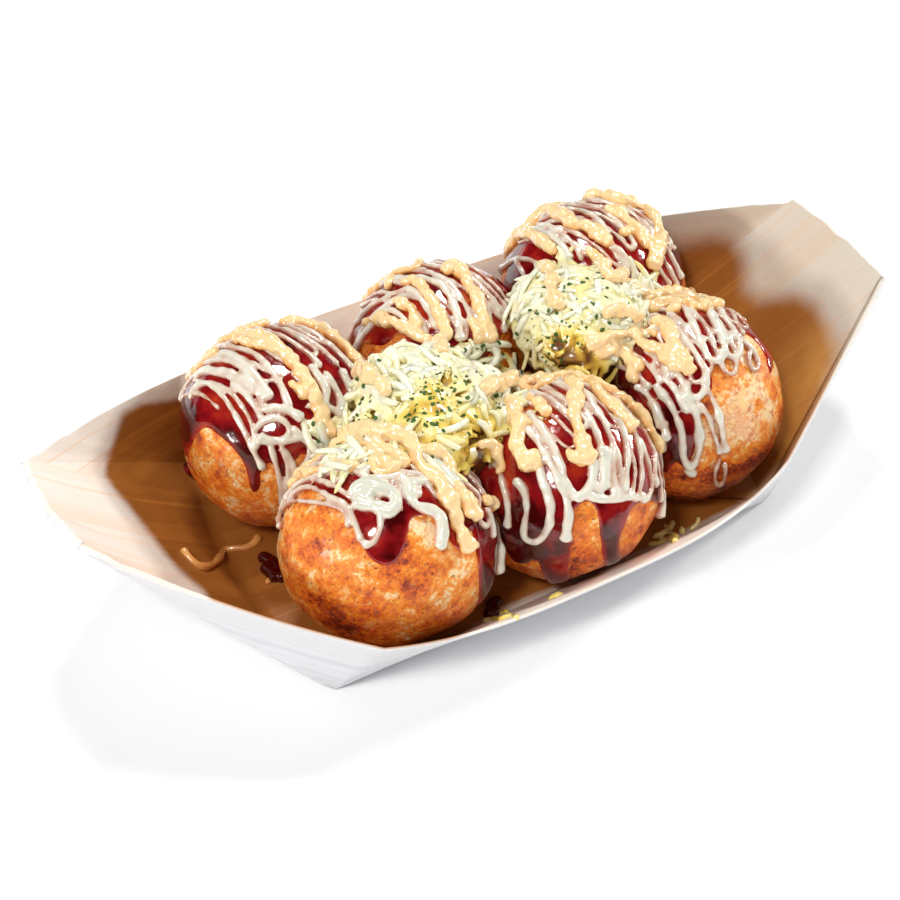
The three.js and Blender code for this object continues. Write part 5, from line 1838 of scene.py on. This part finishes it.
# %% Laver finish and tree
laver, g, place = new_finish("laver")
colour = g.blend(g.noise(place, 900, 2.0, 0.5), (0.015, 0.045, 0.006), (0.09, 0.20, 0.02))
set_shader(laver, g, Base_Color=colour, Roughness=0.55)

g, into = new_tree("flakes on a surface", {
    "Per square metre": "Float", "Size": "Float", "Seed": "Int", "Finish": "Material"})
places, lie = spread_by_chance(g, into, "catch")
flake = g.wire("GeometryNodeMeshIcoSphere", None, {"Radius": into["Size"], "Subdivisions": 1})
flat_flake = g.wire("GeometryNodeTransform", None, {"Geometry": flake, "Scale": (1.0, 0.7, 0.3)})
size = g.chance(0.35, 1.25, 3, into["Seed"])
flakes = g.wire("GeometryNodeInstanceOnPoints", None, {
    "Points": places, "Instance": flat_flake, "Rotation": lie, "Scale": size})
FLAKE_TREE = close_tree(g, flakes, into["Finish"])
print("tree:", FLAKE_TREE.name, "with", len(FLAKE_TREE.nodes), "nodes")

# %% Flakes
FLAKE_SPOTS = [
    # a dot of the view, how wide the spot is in such dots, and how thick it lies
    (568, 345, 34, 1.0), (430, 405, 34, 1.0), (330, 452, 30, 0.9), (365, 430, 34, 0.7),
    (600, 315, 30, 0.5), (560, 330, 30, 0.6), (470, 365, 50, 0.45), (500, 400, 40, 0.3)]
FLAKES_PER_SQUARE_METRE = 520000.0
FLAKES_ANYWHERE = 0.03
FLAKE_SIZE = 0.6
for name, kind in [(name, kind) for name in HEAPS for kind in SHREDS]:
    source = bpy.data.objects[f"cheese_{kind}_{name}"]
    places, out = points_of(source), normals_of(source)
    catch = np.zeros(len(places))
    for x, y, size, strength in FLAKE_SPOTS:
        apart = lengths_of(places - nearest_food([(x, y)], FOODS)[0]) / (size / DOTS_PER_MM)
        catch = np.maximum(catch, strength * np.exp(-(apart ** 2)))
    bed = bpy.data.objects.new("laver_bed", source.data.copy())
    bpy.context.scene.collection.objects.link(bed)
    set_attribute(bed, "catch", (FLAKES_ANYWHERE + catch) * np.clip(out[:, 2], 0, 1))
    grow(bed, FLAKE_TREE, {
        "Per square metre": FLAKES_PER_SQUARE_METRE, "Size": FLAKE_SIZE * MM,
        "Seed": HEAPS[name]["seed"] + len(kind), "Finish": laver})
    piece = settle(bed, f"laver_{kind}_{name}", laver)
    hand_over(piece, "herb", f"cheese_{name}")

# %% [markdown]
# ## What has fallen into the tray
# A squiggle of mayonnaise, little pools of sauce beside the left-hand balls, and a few shreds of cheese lie
# on the wood. They use the same bead tree, on paths dropped onto the tray's sheet. The sheet is
# thinner than a bead is deep, so what comes out under it is drawn back into its thickness.

# %% Lines on the tray
TRAY_SURFACE = BVHTree.FromObject(tray, bpy.context.evaluated_depsgraph_get())


def on_tray(dots, lift):
    """Points of the sheet under dots of the view, raised a little along the sheet's normal."""
    spots = []
    for line in sight_lines(dots):
        spot, normal, _, _ = TRAY_SURFACE.ray_cast(Vector(eye * MM), Vector(line))
        spots.append(np.array(spot) / MM + np.array(normal) * lift)
    return even_steps(smooth_line(spots, 8 * len(spots)))


def tucked_in(places):
    """The places, with those that came out under the sheet drawn back into its thickness."""
    for place in places:
        spot, normal, _, _ = TRAY_SURFACE.find_nearest(Vector(place * MM))
        if normal.z < 0:
            place[:] = np.array(spot) / MM - np.array(normal) * VENEER / 2
    return places


print("wood left of the front ball:", np.round(on_tray([(240, 560), (250, 560)], 0)[0], 1))

# %% Spills
SPILLS = {
    # finish, slot, how full it looks, then lines: half the width in millimetres, and dots of the view
    "spilled_mayonnaise": (orange_mayo, "orange_sauce", 0.75, [
        (0.85, [(181, 549), (188, 558), (199, 567), (211, 566), (219, 558), (224, 551), (234, 549),
            (246, 548), (255, 543), (259, 536)]),
        (0.7, [(266, 585), (271, 578), (275, 570)]),
    ]),
    "spilled_sauce": (sauce, "sauce", 1.0, [
        (1.5, [(258, 557), (266, 560), (274, 566), (280, 574), (284, 583)]),
        (1.3, [(262, 566), (270, 573), (278, 582)]),
        (1.3, [(484, 617), (492, 613), (500, 611)]),
        (1.4, [(486, 607), (494, 603), (503, 603)]),
        (1.2, [(187, 464), (188, 470), (190, 476)]),
    ]),
    "spilled_cheese": (cheese, "cheese", 0.5, [
        (0.65, [(484, 622), (493, 620), (502, 620), (512, 616), (517, 619)]),
        (0.6, [(490, 610), (499, 613), (509, 612)]),
        (0.7, [(647, 545), (657, 545), (667, 541), (676, 542)]),
        (0.65, [(652, 538), (662, 534), (670, 529), (673, 521)]),
        (0.6, [(664, 524), (669, 532), (678, 538)]),
        (0.6, [(548, 600), (556, 597), (564, 594)]),
        (0.55, [(690, 530), (697, 524), (699, 517)]),
        (1.15, [(679, 532), (682, 532), (685, 531)]),
    ]),
}
for name, (finish, slot, fullness, lines_laid) in SPILLS.items():
    draw = seeded_random(len(name))
    runs = []
    for radius, dots in lines_laid:
        path = on_tray(dots, 0.3 * radius)
        runs.append((path, bead_sizes(path, radius, draw, unevenness=0.15, drip=0.2)))
    piece = melted_beads(name, runs, finish, voxel=0.25, rounds=3)
    move_points(piece, tucked_in(points_of(piece)))
    for key in ("height", "film", "tone"):
        set_attribute(piece, key, np.full(len(piece.data.vertices), fullness))
    hand_over(piece, slot)

# %% [markdown]
# ## Room and light
# A plain pale floor, a soft surround, four small boxes of light and a large weak one in front. The small
# boxes on either side stand low, so that their shadows fall in both raised ends of the tray, and all four
# shine in the sauce. The large one only fills shadows, so nothing mirrors it.

# %% Floor
floor_paint, g, place = new_finish("floor_paint")
set_shader(floor_paint, g, Base_Color=(0.93, 0.93, 0.94, 1), Roughness=0.9)
FLOOR_REACH = 3000
FLOOR_LEVEL = -0.05
corners = [(x * FLOOR_REACH, y * FLOOR_REACH, FLOOR_LEVEL) for x, y in ((-1, -1), (1, -1), (1, 1), (-1, 1))]
floor = new_object("floor", corners, [], [(0, 1, 2, 3)], floor_paint, smooth=False)
print("floor", 2 * FLOOR_REACH, "mm wide")

# %% Lights
LAMPS = {
    # turn round the tray and height above the table in degrees, distance and side in metres, watts, colour
    "box_right": (357, 28, 0.9, 0.10, 3.4, (1.0, 0.98, 0.94)),
    "box_left": (183, 19, 0.9, 0.10, 3.0, (1.0, 0.98, 0.95)),
    "box_front": (215, 55, 0.9, 0.13, 3.0, (1.0, 0.98, 0.95)),
    "box_top": (70, 64, 1.0, 0.17, 4.4, (1.0, 0.99, 0.97)),
    "fill_front": (292, 16, 1.2, 0.7, 2.7, (1.0, 0.99, 0.97)),
}
AIM = Vector((0, 0, 0.02))


def stand(turn, height, distance):
    """Where a lamp stands, in metres."""
    turn, height = math.radians(turn), math.radians(height)
    level = math.cos(height) * distance
    return Vector((level * math.cos(turn), level * math.sin(turn), math.sin(height) * distance))


for name, (turn, height, distance, side, watts, colour) in LAMPS.items():
    data = bpy.data.lights.new(name, "AREA")
    data.shape = "SQUARE"
    data.size = side
    data.energy = watts
    data.color = colour
    lamp = bpy.data.objects.new(name, data)
    lamp.visible_glossy = name.startswith("box")
    place = stand(turn, height, distance)
    lamp.matrix_world = looking_away_from(place, place - AIM)
    bpy.context.scene.collection.objects.link(lamp)
    print(name, watts, "W")

# %% Surround
SURROUND_COLOUR = (0.95, 0.97, 1.0, 1)
SURROUND_STRENGTH = 0.36
world = bpy.data.worlds.new("surround")
world.use_nodes = True
backdrop = world.node_tree.nodes["Background"]
backdrop.inputs["Color"].default_value = SURROUND_COLOUR
backdrop.inputs["Strength"].default_value = SURROUND_STRENGTH
world.cycles_visibility.glossy = False
bpy.context.scene.world = world
bpy.context.scene.view_settings.view_transform = "Standard"
print("surround strength", SURROUND_STRENGTH)
